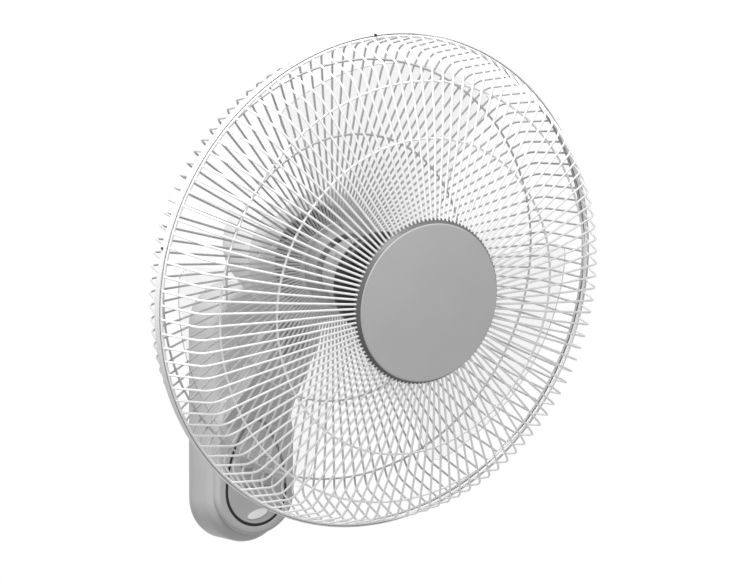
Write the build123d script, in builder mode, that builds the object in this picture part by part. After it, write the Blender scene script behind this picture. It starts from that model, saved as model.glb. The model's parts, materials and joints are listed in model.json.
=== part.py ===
"""Wall-mounted fan: oscillating head with a wire guard on a leaning arm over a wall base.

Frame: the origin is the middle of the wall plate's back face, +Z is up, the wall is the plane y = 0
and the fan looks towards -Y. Lengths are millimetres, angles are degrees.
"""
from build123d import *
from math import asin, atan2, cos, degrees, hypot, radians, sin, sqrt
import os

os.makedirs("parts", exist_ok=True)

# ---- Driving dimensions ----------------------------------------------------------------------
# Clearances
RUN_FIT = 0.05               # radial, a turning pin in its bore
SLIDE_GAP = 0.3              # between faces that pass each other
WELD_GAP = 0.03              # hoop to wire, where the real guard has a weld nugget

# Wall base
BASE_WIDTH = 84.0
BASE_HEIGHT = 248.0
BASE_DEPTH = 46.0
BASE_WALL = 3.0
BASE_EDGE = 7.0              # flat that stands for a rounding of 12 mm
BASE_INNER_CHAMFER = 7.0
WALL_GAP = 0.6               # the housing's rim stands this far off the wall
REBATE_WALL = 1.3            # wall left outside the plate
PLATE_THICKNESS = 3.0
PLATE_HOLE_R = 2.75
PLATE_SPACING_X = 44.0
PLATE_SPACING_Z = 160.0
TAB_WIDTH = 16.0
TAB_THICKNESS = 1.5
TAB_RISE = 7.0               # tab above the base's lowest point
LOCK_SCREW_R = 1.75
LOCK_SCREW_REACH = 9.0
LOCK_HEAD_R = 3.4
LOCK_HEAD_HEIGHT = 2.0
INLET_REACH = 27.0
INLET_R = 6.0
INLET_BORE_R = 3.75
INLET_PROUD = 1.5
INLET_LENGTH = 10.0

# Pod and arm
POD_REACH = 58.5             # pod face, from the wall
POD_HALF_WIDTH = 35.0
POD_BOTTOM = -112.0
POD_BEND_HEIGHT = -6.0       # where the face starts to lean forward
POD_BEND_R = 25.0
POD_EDGE = 2.4
ARM_BACK_HEIGHT = -5.0       # where the arm's back leaves the base
ARM_MID_HEIGHT = 32.0
ARM_MID_HALF_WIDTH = 29.0
ARM_TOP_HALF_WIDTH = 25.0
ARM_LEAN = 50.0              # lean of the arm's top, up from level
PIVOT_REACH = 119.0
PIVOT_HEIGHT = 75.0
KNUCKLE_R = 15.0
NECK_HALF_WIDTH = 11.85
NECK_R = 14.0
SLOT_R = 17.0
BOLT_R = 4.0
BOLT_HEAD_R = 7.0
BOLT_HEAD_LENGTH = 3.5
BOLT_TAIL = 2.0
COVER_SCREW_X = 26.0
COVER_SCREW_Z = -26.0
COVER_SCREW_R = 1.6
COVER_SCREW_DEPTH = 7.0
COVER_HEAD_R = 3.0
COVER_HEAD_HEIGHT = 2.0

# Control panel
PANEL_HALF_WIDTH = 30.5
PANEL_BELLY_Z = -75.0
PANEL_TOP_Z = -2.0           # sharp tip of the egg, before rounding
PANEL_TIP_R = 12.0
PANEL_DEPTH = 4.5
SEAL_WIDTH = 3.0
SEAL_SINK = 0.8
LEDGE_WIDTH = 1.0
BOARD_THICKNESS = 1.6
BOARD_GAP = 0.4
SWITCH_SIZE = 6.0
SWITCH_HEIGHT = 3.9
LENS_X = 1.0
LENS_Z = -96.5
LENS_HALF_LENGTH = 11.0
LENS_HALF_HEIGHT = 4.0
LENS_SLANT = 15.0
LENS_PROUD = 0.4
BUTTON_WIDTH = 14.0
BUTTON_HEIGHT = 10.0
BUTTON_CORNER = 2.0
BUTTON_PROUD = 1.2
BUTTON_TAIL = 1.5            # behind the panel
BUTTON_SPACING_X = 20.0
BUTTON_SPACING_Z = 17.0
BUTTON_MIDDLE_Z = -56.0

# Electrical parts in the base
CAPACITOR_SIZE = (38.0, 18.0, 24.0)
CAPACITOR_Z = 30.0
TERMINAL_SIZE = (32.0, 12.0, 14.0)
TERMINAL_Z = 62.0

# Neck and head placing
HEAD_TILT = 11.0             # the head looks down by this much at rest
NECK_RISE = 84.0             # tilt pivot to head axis
HEAD_REACH = 150.0           # swing axis to the middle of the guard band
FLANGE_BOTTOM = 17.0
FLANGE_THICKNESS = 3.0
FLANGE_R = 14.0
STEM_WIDTH = 20.0
SWING_PIN_R = 4.5
SWING_PIN_BOTTOM = 8.0
SWING_PIN_TOP = 39.0
WASHER_THICKNESS = 0.8
WASHER_R = 8.5
THRUST_GAP = 0.1

# Swing drive
SWING_ARM = 20.0             # swing axis to the fixed link pin
CRANK_THROW = 12.5
CRANK_BACK = 32.0            # swing axis to crank axis
CRANK_R = 15.5
CRANK_THICKNESS = 3.0
CRANK_SHAFT_R = 3.5
CRANK_PIN_R = 2.5
LINK_THICKNESS = 2.0
LINK_WIDTH = 8.0
EAR_R = 6.0
STUD_R = 3.0
STUD_HEIGHT = 1.0
STUD_GAP = 0.5               # the link's far eye floats this far over the stud

# Motor, along the head axis (0 is the band's mid-plane, forward is positive)
TURNED_SIDES = 60            # flats round the large turned mouldings
SHELL_SEAM = -128.0
SHELL_R = 61.0
SHELL_WALL = 2.5
SHELL_SHOULDER = -118.0
SHELL_TAPER = 2.5            # from the seam in to the waist
SHELL_WAIST = -152.0
SHELL_TAIL_R = 49.0
SHELL_TAIL = -196.0
SHELL_END_R = 38.0
SHELL_END = -207.0
NOSE_FLANGE_R = 30.0
NOSE_FLANGE_BACK = -97.0
NOSE_TUBE_R = 22.0
NOSE_TUBE_END = -58.0
NOSE_BORE_R = 6.0
VENT_COUNT = 12
VENT_LENGTH = 7.0
VENT_WIDTH = 5.0
STATOR_R = 44.0
STATOR_BORE_R = 25.0
STATOR_FRONT = -120.0
STATOR_BACK = -150.0
CORE_SIDES = 24              # slots of the stator, and sides of its outline
CLAMP_WALL = 3.0
WINDING_ROOM = -107.2        # front cover's inside, over the windings
BEARING_ROOM = -99.7         # the same at the bearing's seat
WINDING_OUTER_R = 40.0
WINDING_INNER_R = 28.0
WINDING_LENGTH = 12.0
AIR_GAP = 0.5
SHAFT_R = 4.0
SHAFT_BACK = -184.0
SHAFT_FRONT = -3.0
BEARING_R = 11.0
BEARING_LENGTH = 8.0
BEARING_SIDES = 16
FRONT_BEARING_BACK = -92.0
REAR_BEARING_BACK = -170.0
GEARBOX_FRONT = -172.0
GEARBOX_BACK = -195.0
GEARBOX_LEFT = -14.0
GEARBOX_RIGHT = 27.0
GEARBOX_TOP = 12.0
GEARBOX_BOTTOM = -36.0
GEARBOX_BOSS_R = 14.0
CRANK_SHAFT_TOP = -14.0
BRACKET_HALF_WIDTH = 13.0
BRACKET_FRONT = -138.0
BRACKET_HEEL = -164.0        # where the bracket rises behind the windings
BRACKET_BOTTOM = -54.0
BRACKET_SADDLE_TOP = -40.0
BRACKET_HEEL_TOP = -30.0
BRACKET_BOSS_R = 9.0
CRANK_HOLE_R = 5.0

# Guards
WIRE_COUNT = 112
WIRE_PHASE = 0.5             # angle of the first wire
WIRE_RADIUS = 1.8            # corner radius of the three-sided wire section
BAND_R = 220.0
BAND_THICKNESS = 1.2
BAND_HALF_WIDTH = 5.0
RIM_RADIUS = 2.4             # corner radius of the rim wire's section
RIM_FAR = 4.2                # rim's flat side, from the band's mid-plane
RIM_SINK = 0.7               # the wires end this deep in the rim
RING_RUNS = 56               # straight runs in a hoop or rim, two wires to a run
FRONT_CORNER_INSET = 17.5    # from the band in to the front guard's outer bend
FRONT_CORNER = 41.0
FRONT_BREAK_R = 140.0        # where the dome grows steeper
FRONT_BREAK = 58.0
FRONT_EYE_R = 62.0
FRONT_EYE = 72.5
FRONT_PLATE_R = 64.0
FRONT_HOOP_INSET = 34.0      # from the band in to the outer hoop
HOOP_SEAT = 2.5              # from the dome's break in to the inner hoop
REAR_CORNER_INSET = 14.5
REAR_CORNER = -46.5
REAR_EYE_R = 50.0
REAR_EYE = -77.0
REAR_PLATE_R = 57.0
REAR_HOOP_INSET = 28.5
REAR_INNER_HOOP_R = 123.5
GUARD_PLATE_THICKNESS = 1.5
CLIP_ANGLES = (171.0, 93.0)
CLIP_LENGTH = 7.0
CLIP_HEIGHT = 2.0
NUT_FLANGE_R = 37.0
NUT_FLANGE_THICKNESS = 3.4
NUT_TOP_R = 33.0
NUT_LENGTH = 13.4
NUT_SLOT_R = 27.5
NUT_SLOT_SIZE = 4.5
NUT_SLOT_DEPTH = 4.0
NUT_SLOTS = 16
CAP_R = 69.5
CAP_EDGE_HEIGHT = 2.8
CAP_CROWN = 3.2
CAP_SIDES = 90
CAP_SHOULDER_R = 45.0
CAP_FLAT_R = 18.0            # flat middle of the crown
CAP_FLAT_DROP = 1.1
CAP_BOSS_R = 54.0

# Blades
BLADE_COUNT = 3
TIP_INSET = 26.5             # from the band in to the blade tips
BLADE_TRIM = 3.0             # moulded past the tip, then cut to its outline
TIP_LEAD_ANGLE = 56.0
TRAIL_ANGLE = 131.0
ROOT_LEAD_ANGLE = 20.0
TIP_TRAIL_N = 4.0
TIP_PITCH = 22.0 / 75.0      # forward rise at the tip, per degree
ROOT_TRAIL_N = -14.0
ROOT_PITCH = 0.27            # forward rise at the root, per degree
TIP_CORNER_R = 12.0
BLADE_TIP_THICKNESS = 2.0
BLADE_ROOT_THICKNESS = 2.8
BLADE_STRIPS = 8
LEAD_BELLY = ((99.0, 40.0), (124.0, 53.0))   # radius and angle on the leading edge
HUB_R = 30.0
HUB_WALL = 3.0
HUB_BACK = -54.0
HUB_FRONT = -10.0
HUB_WEB = 4.0
HUB_SLEEVE_R = 9.0
BLADE_NUT_R = 8.0
BLADE_NUT_LENGTH = 6.0

# ---- Derived frames and values -----------------------------------------------------------------
tilt = radians(HEAD_TILT)
forward = Vector(0, -cos(tilt), -sin(tilt))
upward = Vector(0, -sin(tilt), cos(tilt))
pivot = Vector(0, -PIVOT_REACH, PIVOT_HEIGHT)
centre = pivot + upward * NECK_RISE + forward * HEAD_REACH

wall = Plane(origin=(0, 0, 0), x_dir=(1, 0, 0), z_dir=(0, -1, 0))         # x right, y up, z out
side = Plane(origin=(0, 0, 0), x_dir=(0, -1, 0), z_dir=(-1, 0, 0))        # x out of the wall, y up
neck = Plane(origin=pivot, x_dir=(1, 0, 0), z_dir=upward)                 # x right, y back, z up
head = Plane(origin=centre, x_dir=(1, 0, 0), z_dir=forward)               # x right, y up, z forward
meridian = Plane(origin=centre, x_dir=(1, 0, 0), z_dir=-upward)           # x radius, y forward
head_side = Plane(origin=centre, x_dir=forward, z_dir=(-1, 0, 0))         # x forward, y up
outward = Axis((0, 0, 0), (0, -1, 0))
head_axis = Axis(centre, forward)

plate_inset = REBATE_WALL + SLIDE_GAP
cavity_front = BASE_DEPTH - BASE_WALL
base_bottom = -BASE_HEIGHT / 2
panel_back = POD_REACH - PANEL_DEPTH
board_front = BASE_DEPTH + BOARD_THICKNESS
pivot_point = (PIVOT_REACH, PIVOT_HEIGHT)
bearing_bore_r = SHAFT_R + RUN_FIT
flange_top = FLANGE_BOTTOM + FLANGE_THICKNESS
boss_bottom = flange_top + WASHER_THICKNESS + THRUST_GAP
link_bottom = flange_top + STUD_HEIGHT + STUD_GAP
link_top = link_bottom + LINK_THICKNESS
crank_bottom = link_top + SLIDE_GAP
crank_top = crank_bottom + CRANK_THICKNESS
swing_limit = degrees(asin(CRANK_THROW / SWING_ARM))
wire_flat = WIRE_RADIUS / 2  # middle of the wire's section to its flat side
front_corner_r = BAND_R - FRONT_CORNER_INSET
rear_corner_r = BAND_R - REAR_CORNER_INSET
tip_r = BAND_R - TIP_INSET
front_slope = (FRONT_EYE - FRONT_BREAK) / (FRONT_BREAK_R - FRONT_EYE_R)
rear_slope = (REAR_CORNER - REAR_EYE) / (rear_corner_r - REAR_EYE_R)
seat_drop = wire_flat * hypot(1, front_slope) + WELD_GAP
front_plate_top = FRONT_EYE - front_slope * (FRONT_PLATE_R - FRONT_EYE_R) - seat_drop
rear_plate_back = REAR_EYE + rear_slope * (REAR_PLATE_R - REAR_EYE_R) + seat_drop
rear_plate_front = rear_plate_back + GUARD_PLATE_THICKNESS


def save(part, label):
    """Label a finished piece and write its file."""
    part.label = label
    export_step(part, f"parts/{label}.step")


def stadium(inset):
    """Round-ended outline of the base, drawn smaller by an inset."""
    SlotOverall(BASE_HEIGHT - 2 * inset, BASE_WIDTH - 2 * inset, rotation=90)


def panel_egg(grow):
    """Egg-shaped panel outline, grown by a margin: round belly, two arcs rising to a rounded tip."""
    rise = PANEL_TOP_Z - PANEL_BELLY_Z
    flank_r = (PANEL_HALF_WIDTH ** 2 + rise ** 2) / (2 * PANEL_HALF_WIDTH)
    tip_z = PANEL_BELLY_Z + sqrt((flank_r + grow) ** 2 - (flank_r - PANEL_HALF_WIDTH) ** 2)
    half_width = PANEL_HALF_WIDTH + grow
    with BuildSketch() as egg:
        with BuildLine():
            CenterArc((0, PANEL_BELLY_Z), half_width, 180, 180)
            for hand in (-1, 1):
                TangentArc((hand * half_width, PANEL_BELLY_Z), (0, tip_z), tangent=(0, 1))
        make_face()
        fillet(vertices().sort_by(Axis.Y)[-1], PANEL_TIP_R + grow)
    return egg.sketch


def button_outline(grow):
    """Outline of a button, grown by a margin, with its corners cut."""
    with BuildSketch() as outline:
        Rectangle(BUTTON_WIDTH + 2 * grow, BUTTON_HEIGHT + 2 * grow)
        chamfer(outline.vertices(), BUTTON_CORNER)
    return outline.sketch


def button_places():
    """Centres of the four buttons on the panel."""
    return GridLocations(BUTTON_SPACING_X, BUTTON_SPACING_Z, 2, 2)


def polar_point(radius, angle):
    """Point in a head plane at a radius and an angle from +X."""
    return radius * cos(radians(angle)), radius * sin(radians(angle))


def faceted(facets):
    """Closed solid bounded by flat facets, each a loop of corner points."""
    return Solid(Shell([Face(Wire.make_polygon(facet)) for facet in facets]))


def turned(profile, sides):
    """Solid with flat sides round the head axis, through (forward, radius) places from back to front."""
    rings = [[head.from_local_coords(Vector(*polar_point(radius, 360 * side / sides), place))
              for side in range(sides)] for place, radius in profile]
    facets = [rings[0], rings[-1]]
    for near, far in zip(rings, rings[1:]):
        facets += [(near[side - 1], near[side], far[side], far[side - 1]) for side in range(sides)]
    return faceted(facets)


def ring_section(inner, outer, back, front):
    """Section of a plain ring about the head axis, drawn in the meridian plane."""
    with Locations(((inner + outer) / 2, (back + front) / 2)):
        Rectangle(outer - inner, front - back)


# ---- Wall base ---------------------------------------------------------------------------------
with BuildPart() as wall_plate:
    with BuildSketch(wall):
        stadium(plate_inset)
        with GridLocations(PLATE_SPACING_X, PLATE_SPACING_Z, 2, 2):
            Circle(PLATE_HOLE_R, mode=Mode.SUBTRACT)
    extrude(amount=PLATE_THICKNESS)
    tab_reach = LOCK_SCREW_REACH + LOCK_HEAD_R
    with BuildSketch(Plane.XY.offset(base_bottom + TAB_RISE)):
        with Locations((0, -tab_reach / 2)):
            Rectangle(TAB_WIDTH, tab_reach)
    extrude(amount=TAB_THICKNESS)
    with BuildSketch(Plane.XY.offset(base_bottom + TAB_RISE)):
        with Locations((0, -LOCK_SCREW_REACH)):
            Circle(LOCK_SCREW_R)
    extrude(amount=TAB_THICKNESS, mode=Mode.SUBTRACT)

with BuildPart() as base_cavity:
    with BuildSketch(wall.offset(PLATE_THICKNESS)):
        stadium(BASE_WALL)
    extrude(amount=cavity_front - PLATE_THICKNESS)
    chamfer(base_cavity.faces().sort_by(outward)[-1].edges(), BASE_INNER_CHAMFER)

with BuildPart() as base_housing:
    with BuildSketch(wall.offset(WALL_GAP)):
        stadium(0)
    extrude(amount=BASE_DEPTH - WALL_GAP)
    chamfer(base_housing.faces().sort_by(outward)[-1].edges(), BASE_EDGE)
    with BuildSketch(wall):
        stadium(REBATE_WALL)
    extrude(amount=PLATE_THICKNESS, mode=Mode.SUBTRACT)
    add(base_cavity.part, mode=Mode.SUBTRACT)
    with BuildSketch(Plane.XY.offset(base_bottom)):
        with Locations((0, -LOCK_SCREW_REACH)):
            Circle(LOCK_SCREW_R)
        with Locations((0, -INLET_REACH)):
            Circle(INLET_R)
    extrude(amount=TAB_RISE, mode=Mode.SUBTRACT)
    with BuildSketch(wall.offset(cavity_front)):
        with Locations((-COVER_SCREW_X, COVER_SCREW_Z), (COVER_SCREW_X, COVER_SCREW_Z)):
            Circle(COVER_SCREW_R)
    extrude(amount=BASE_WALL, mode=Mode.SUBTRACT)

with BuildPart() as lock_screw:
    with BuildSketch(Plane.XY.offset(base_bottom - LOCK_HEAD_HEIGHT)):
        with Locations((0, -LOCK_SCREW_REACH)):
            RegularPolygon(LOCK_HEAD_R, 6)
    extrude(amount=LOCK_HEAD_HEIGHT)
    with BuildSketch(Plane.XY.offset(base_bottom)):
        with Locations((0, -LOCK_SCREW_REACH)):
            Circle(LOCK_SCREW_R)
    extrude(amount=TAB_RISE + TAB_THICKNESS)

with BuildPart() as cord_inlet:
    with BuildSketch(Plane.XY.offset(base_bottom - INLET_PROUD)):
        with Locations((0, -INLET_REACH)):
            Circle(INLET_R)
            Circle(INLET_BORE_R, mode=Mode.SUBTRACT)
    extrude(amount=INLET_LENGTH)

with BuildPart() as cover_screws:
    screw_places = ((-COVER_SCREW_X, COVER_SCREW_Z), (COVER_SCREW_X, COVER_SCREW_Z))
    with BuildSketch(wall.offset(cavity_front - COVER_HEAD_HEIGHT)):
        with Locations(screw_places):
            RegularPolygon(COVER_HEAD_R, 6)
    extrude(amount=COVER_HEAD_HEIGHT)
    with BuildSketch(wall.offset(cavity_front)):
        with Locations(screw_places):
            Circle(COVER_SCREW_R)
    extrude(amount=BASE_WALL + COVER_SCREW_DEPTH)

with BuildPart() as run_capacitor:
    with BuildSketch(wall.offset(cavity_front - CAPACITOR_SIZE[2])):
        with Locations((0, CAPACITOR_Z)):
            RectangleRounded(CAPACITOR_SIZE[0], CAPACITOR_SIZE[1], CAPACITOR_SIZE[1] / 4)
    extrude(amount=CAPACITOR_SIZE[2])

with BuildPart() as terminal_block:
    with BuildSketch(wall.offset(cavity_front - TERMINAL_SIZE[2])):
        with Locations((0, TERMINAL_Z)):
            Rectangle(TERMINAL_SIZE[0], TERMINAL_SIZE[1])
    extrude(amount=TERMINAL_SIZE[2])
    with BuildSketch(wall.offset(cavity_front - TERMINAL_SIZE[2])):
        with Locations((0, TERMINAL_Z)):
            with GridLocations(TERMINAL_SIZE[0] / 4, 1, 4, 1):
                Rectangle(TERMINAL_SIZE[0] / 8, TERMINAL_SIZE[1] / 2)
    extrude(amount=TERMINAL_SIZE[2] / 2, mode=Mode.SUBTRACT)

# ---- Pod and arm -------------------------------------------------------------------------------
panel_outline = panel_egg(0)
seal_outline = panel_egg(SEAL_WIDTH)
ledge_outline = panel_egg(-LEDGE_WIDTH)
board_outline = panel_egg(-LEDGE_WIDTH - BOARD_GAP)
button_hole = button_outline(SLIDE_GAP)
button_face = button_outline(0)
lean = radians(ARM_LEAN)
knuckle_under = (PIVOT_REACH + KNUCKLE_R * sin(lean), PIVOT_HEIGHT - KNUCKLE_R * cos(lean))
knuckle_back = (PIVOT_REACH - KNUCKLE_R * sin(lean), PIVOT_HEIGHT + KNUCKLE_R * cos(lean))
with BuildPart() as front_cover:
    with BuildSketch(side):
        with BuildLine():
            Polyline((BASE_DEPTH, POD_BOTTOM), (POD_REACH, POD_BOTTOM), (POD_REACH, POD_BEND_HEIGHT),
                     knuckle_under, knuckle_back, (BASE_DEPTH, ARM_BACK_HEIGHT), close=True)
        make_face()
        fillet(vertices().sort_by_distance((POD_REACH, POD_BEND_HEIGHT))[0], POD_BEND_R)
    extrude(amount=POD_HALF_WIDTH, both=True)
    with BuildSketch(wall):
        belly_z = POD_BOTTOM + POD_HALF_WIDTH
        top_z = PIVOT_HEIGHT + 2 * KNUCKLE_R
        with BuildLine():
            CenterArc((0, belly_z), POD_HALF_WIDTH, 180, 180)
            for hand in (-1, 1):
                Polyline((hand * POD_HALF_WIDTH, belly_z),
                         (hand * POD_HALF_WIDTH, ARM_BACK_HEIGHT),
                         (hand * ARM_MID_HALF_WIDTH, ARM_MID_HEIGHT),
                         (hand * ARM_TOP_HALF_WIDTH, PIVOT_HEIGHT - KNUCKLE_R),
                         (hand * ARM_TOP_HALF_WIDTH, top_z))
            Line((-ARM_TOP_HALF_WIDTH, top_z), (ARM_TOP_HALF_WIDTH, top_z))
        make_face()
    extrude(amount=PIVOT_REACH + 2 * KNUCKLE_R, mode=Mode.INTERSECT)
    pod_face = front_cover.faces().filter_by(Axis.Y).sort_by(outward)[-1]
    chamfer(pod_face.edges().sort_by(Axis.Z)[:-1], POD_EDGE)
    with BuildSketch(side):
        with Locations(pivot_point):
            Circle(KNUCKLE_R)
    extrude(amount=ARM_TOP_HALF_WIDTH, both=True)
    with BuildSketch(side):
        with Locations(pivot_point):
            Circle(SLOT_R)
    extrude(amount=NECK_HALF_WIDTH + SLIDE_GAP, both=True, mode=Mode.SUBTRACT)
    with BuildSketch(side):
        with Locations(pivot_point):
            Circle(BOLT_R)
    extrude(amount=ARM_TOP_HALF_WIDTH, both=True, mode=Mode.SUBTRACT)
    with BuildSketch(wall.offset(panel_back)):
        add(seal_outline)
    extrude(amount=PANEL_DEPTH + POD_BEND_R, mode=Mode.SUBTRACT)
    with BuildSketch(wall.offset(BASE_DEPTH)):
        add(ledge_outline)
    extrude(amount=panel_back - BASE_DEPTH, mode=Mode.SUBTRACT)
    with BuildSketch(wall.offset(BASE_DEPTH)):
        with Locations(screw_places):
            Circle(COVER_SCREW_R)
    extrude(amount=COVER_SCREW_DEPTH, mode=Mode.SUBTRACT)

with BuildPart() as panel_seal:
    with BuildSketch(wall.offset(panel_back)):
        add(seal_outline)
    extrude(amount=PANEL_DEPTH - SEAL_SINK)
    with BuildSketch(wall.offset(panel_back)):
        add(panel_outline)
    extrude(amount=PANEL_DEPTH, mode=Mode.SUBTRACT)

with BuildPart() as control_panel:
    with BuildSketch(wall.offset(panel_back)):
        add(panel_outline)
        with Locations((LENS_X, LENS_Z)):
            Ellipse(LENS_HALF_LENGTH, LENS_HALF_HEIGHT, rotation=LENS_SLANT, mode=Mode.SUBTRACT)
        with Locations((0, BUTTON_MIDDLE_Z)):
            with button_places():
                add(button_hole, mode=Mode.SUBTRACT)
    extrude(amount=PANEL_DEPTH)

with BuildPart() as receiver_lens:
    with BuildSketch(wall.offset(panel_back)):
        with Locations((LENS_X, LENS_Z)):
            Ellipse(LENS_HALF_LENGTH, LENS_HALF_HEIGHT, rotation=LENS_SLANT)
    extrude(amount=PANEL_DEPTH + LENS_PROUD)

with BuildPart() as circuit_board:
    with BuildSketch(wall.offset(BASE_DEPTH)):
        add(board_outline)
    extrude(amount=BOARD_THICKNESS)
    with BuildSketch(wall.offset(board_front)):
        with Locations((0, BUTTON_MIDDLE_Z)):
            with button_places():
                Rectangle(SWITCH_SIZE, SWITCH_SIZE)
    extrude(amount=SWITCH_HEIGHT)

button_names = ("button_timer", "button_power", "button_swing", "button_speed")
button_parts = []
with Locations((0, BUTTON_MIDDLE_Z)):
    button_spots = [place.position for place in button_places()]
for name, spot in zip(button_names, button_spots):
    with BuildPart() as button:
        with BuildSketch(wall.offset(panel_back - BUTTON_TAIL)):
            with Locations((spot.X, spot.Y)):
                add(button_face)
        extrude(amount=BUTTON_TAIL + PANEL_DEPTH + BUTTON_PROUD)
    button_parts.append((button.part, name))

with BuildPart() as tilt_bolt:
    with BuildSketch(side.offset(-ARM_TOP_HALF_WIDTH - BOLT_HEAD_LENGTH)):
        with Locations(pivot_point):
            RegularPolygon(BOLT_HEAD_R, 6)
    extrude(amount=BOLT_HEAD_LENGTH)
    with BuildSketch(side.offset(-ARM_TOP_HALF_WIDTH)):
        with Locations(pivot_point):
            Circle(BOLT_R)
    extrude(amount=2 * ARM_TOP_HALF_WIDTH + BOLT_HEAD_LENGTH + BOLT_TAIL)

with BuildPart() as tilt_nut:
    with BuildSketch(side.offset(ARM_TOP_HALF_WIDTH)):
        with Locations(pivot_point):
            RegularPolygon(BOLT_HEAD_R, 6)
            Circle(BOLT_R, mode=Mode.SUBTRACT)
    extrude(amount=BOLT_HEAD_LENGTH)

# ---- Neck --------------------------------------------------------------------------------------
with BuildPart() as neck_bracket:
    with BuildSketch(side):
        with Locations(pivot_point):
            Circle(NECK_R)
    extrude(amount=NECK_HALF_WIDTH, both=True)
    with BuildSketch(neck):
        Rectangle(STEM_WIDTH, STEM_WIDTH)
    extrude(amount=FLANGE_BOTTOM)
    with BuildSketch(neck.offset(FLANGE_BOTTOM)):
        Circle(FLANGE_R)
        with Locations((SWING_ARM / 2, 0)):
            SlotCenterToCenter(SWING_ARM, 2 * EAR_R)
    extrude(amount=FLANGE_THICKNESS)
    with BuildSketch(neck.offset(flange_top)):
        with Locations((SWING_ARM, 0)):
            Circle(STUD_R)
    extrude(amount=STUD_HEIGHT)
    with BuildSketch(neck.offset(SWING_PIN_BOTTOM)):
        Circle(SWING_PIN_R)
    extrude(amount=flange_top - SWING_PIN_BOTTOM, mode=Mode.SUBTRACT)
    with BuildSketch(side):
        with Locations(pivot_point):
            Circle(BOLT_R + RUN_FIT)
    extrude(amount=NECK_HALF_WIDTH, both=True, mode=Mode.SUBTRACT)

with BuildPart() as swing_pin:
    with BuildSketch(neck.offset(SWING_PIN_BOTTOM)):
        Circle(SWING_PIN_R)
    extrude(amount=SWING_PIN_TOP - SWING_PIN_BOTTOM)

with BuildPart() as thrust_washer:
    with BuildSketch(neck.offset(flange_top)):
        RegularPolygon(WASHER_R, 8)
        Circle(SWING_PIN_R, mode=Mode.SUBTRACT)
    extrude(amount=WASHER_THICKNESS)

# ---- Swing drive -------------------------------------------------------------------------------
crank_centre = (SWING_ARM, CRANK_BACK)
crank_pin_place = (SWING_ARM - CRANK_THROW, CRANK_BACK)
link_length = hypot(CRANK_THROW, CRANK_BACK)
link_angle = degrees(atan2(-CRANK_BACK, CRANK_THROW))
with BuildPart() as crank_disc:
    with BuildSketch(neck.offset(crank_bottom)):
        with Locations(crank_centre):
            RegularPolygon(CRANK_R, CORE_SIDES)
    extrude(amount=CRANK_THICKNESS)
    with BuildSketch(neck.offset(crank_top)):
        with Locations(crank_centre):
            Circle(CRANK_SHAFT_R)
    extrude(amount=NECK_RISE + CRANK_SHAFT_TOP - crank_top)
    with BuildSketch(neck.offset(link_bottom)):
        with Locations(crank_pin_place):
            Circle(CRANK_PIN_R)
    extrude(amount=crank_bottom - link_bottom)

with BuildPart() as swing_link:
    with BuildSketch(neck.offset(link_bottom)):
        with Locations((SWING_ARM - CRANK_THROW / 2, CRANK_BACK / 2)):
            SlotCenterToCenter(link_length, LINK_WIDTH, rotation=link_angle)
        with Locations(crank_pin_place):
            Circle(CRANK_PIN_R + RUN_FIT, mode=Mode.SUBTRACT)
        with Locations((SWING_ARM, 0)):
            Circle(STUD_R, mode=Mode.SUBTRACT)
    extrude(amount=LINK_THICKNESS)

# ---- Motor -------------------------------------------------------------------------------------
shell_profile = ((SHELL_END, SHELL_END_R), (SHELL_TAIL, SHELL_TAIL_R), (SHELL_WAIST, SHELL_R - SHELL_TAPER),
                 (SHELL_SEAM, SHELL_R))
shell_inside = [(place, radius - SHELL_WALL) for place, radius in shell_profile[1:]]
with BuildPart() as motor_rear_cover:
    add(turned(shell_profile, TURNED_SIDES))
    add(turned(shell_inside, TURNED_SIDES), mode=Mode.SUBTRACT)
    with BuildSketch(head_side):
        with BuildLine():
            Polyline((GEARBOX_FRONT - SLIDE_GAP, BRACKET_SADDLE_TOP),
                     (BRACKET_FRONT + SLIDE_GAP, BRACKET_SADDLE_TOP),
                     (BRACKET_FRONT + SLIDE_GAP, -SHELL_R), (GEARBOX_FRONT - SLIDE_GAP, -SHELL_R),
                     close=True)
        make_face()
    extrude(amount=BRACKET_HALF_WIDTH + SLIDE_GAP, both=True, mode=Mode.SUBTRACT)
    with BuildSketch(neck.offset(crank_top)):
        with Locations(crank_centre):
            Circle(CRANK_HOLE_R)
    extrude(amount=NECK_RISE + CRANK_SHAFT_TOP - crank_top, mode=Mode.SUBTRACT)

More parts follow.
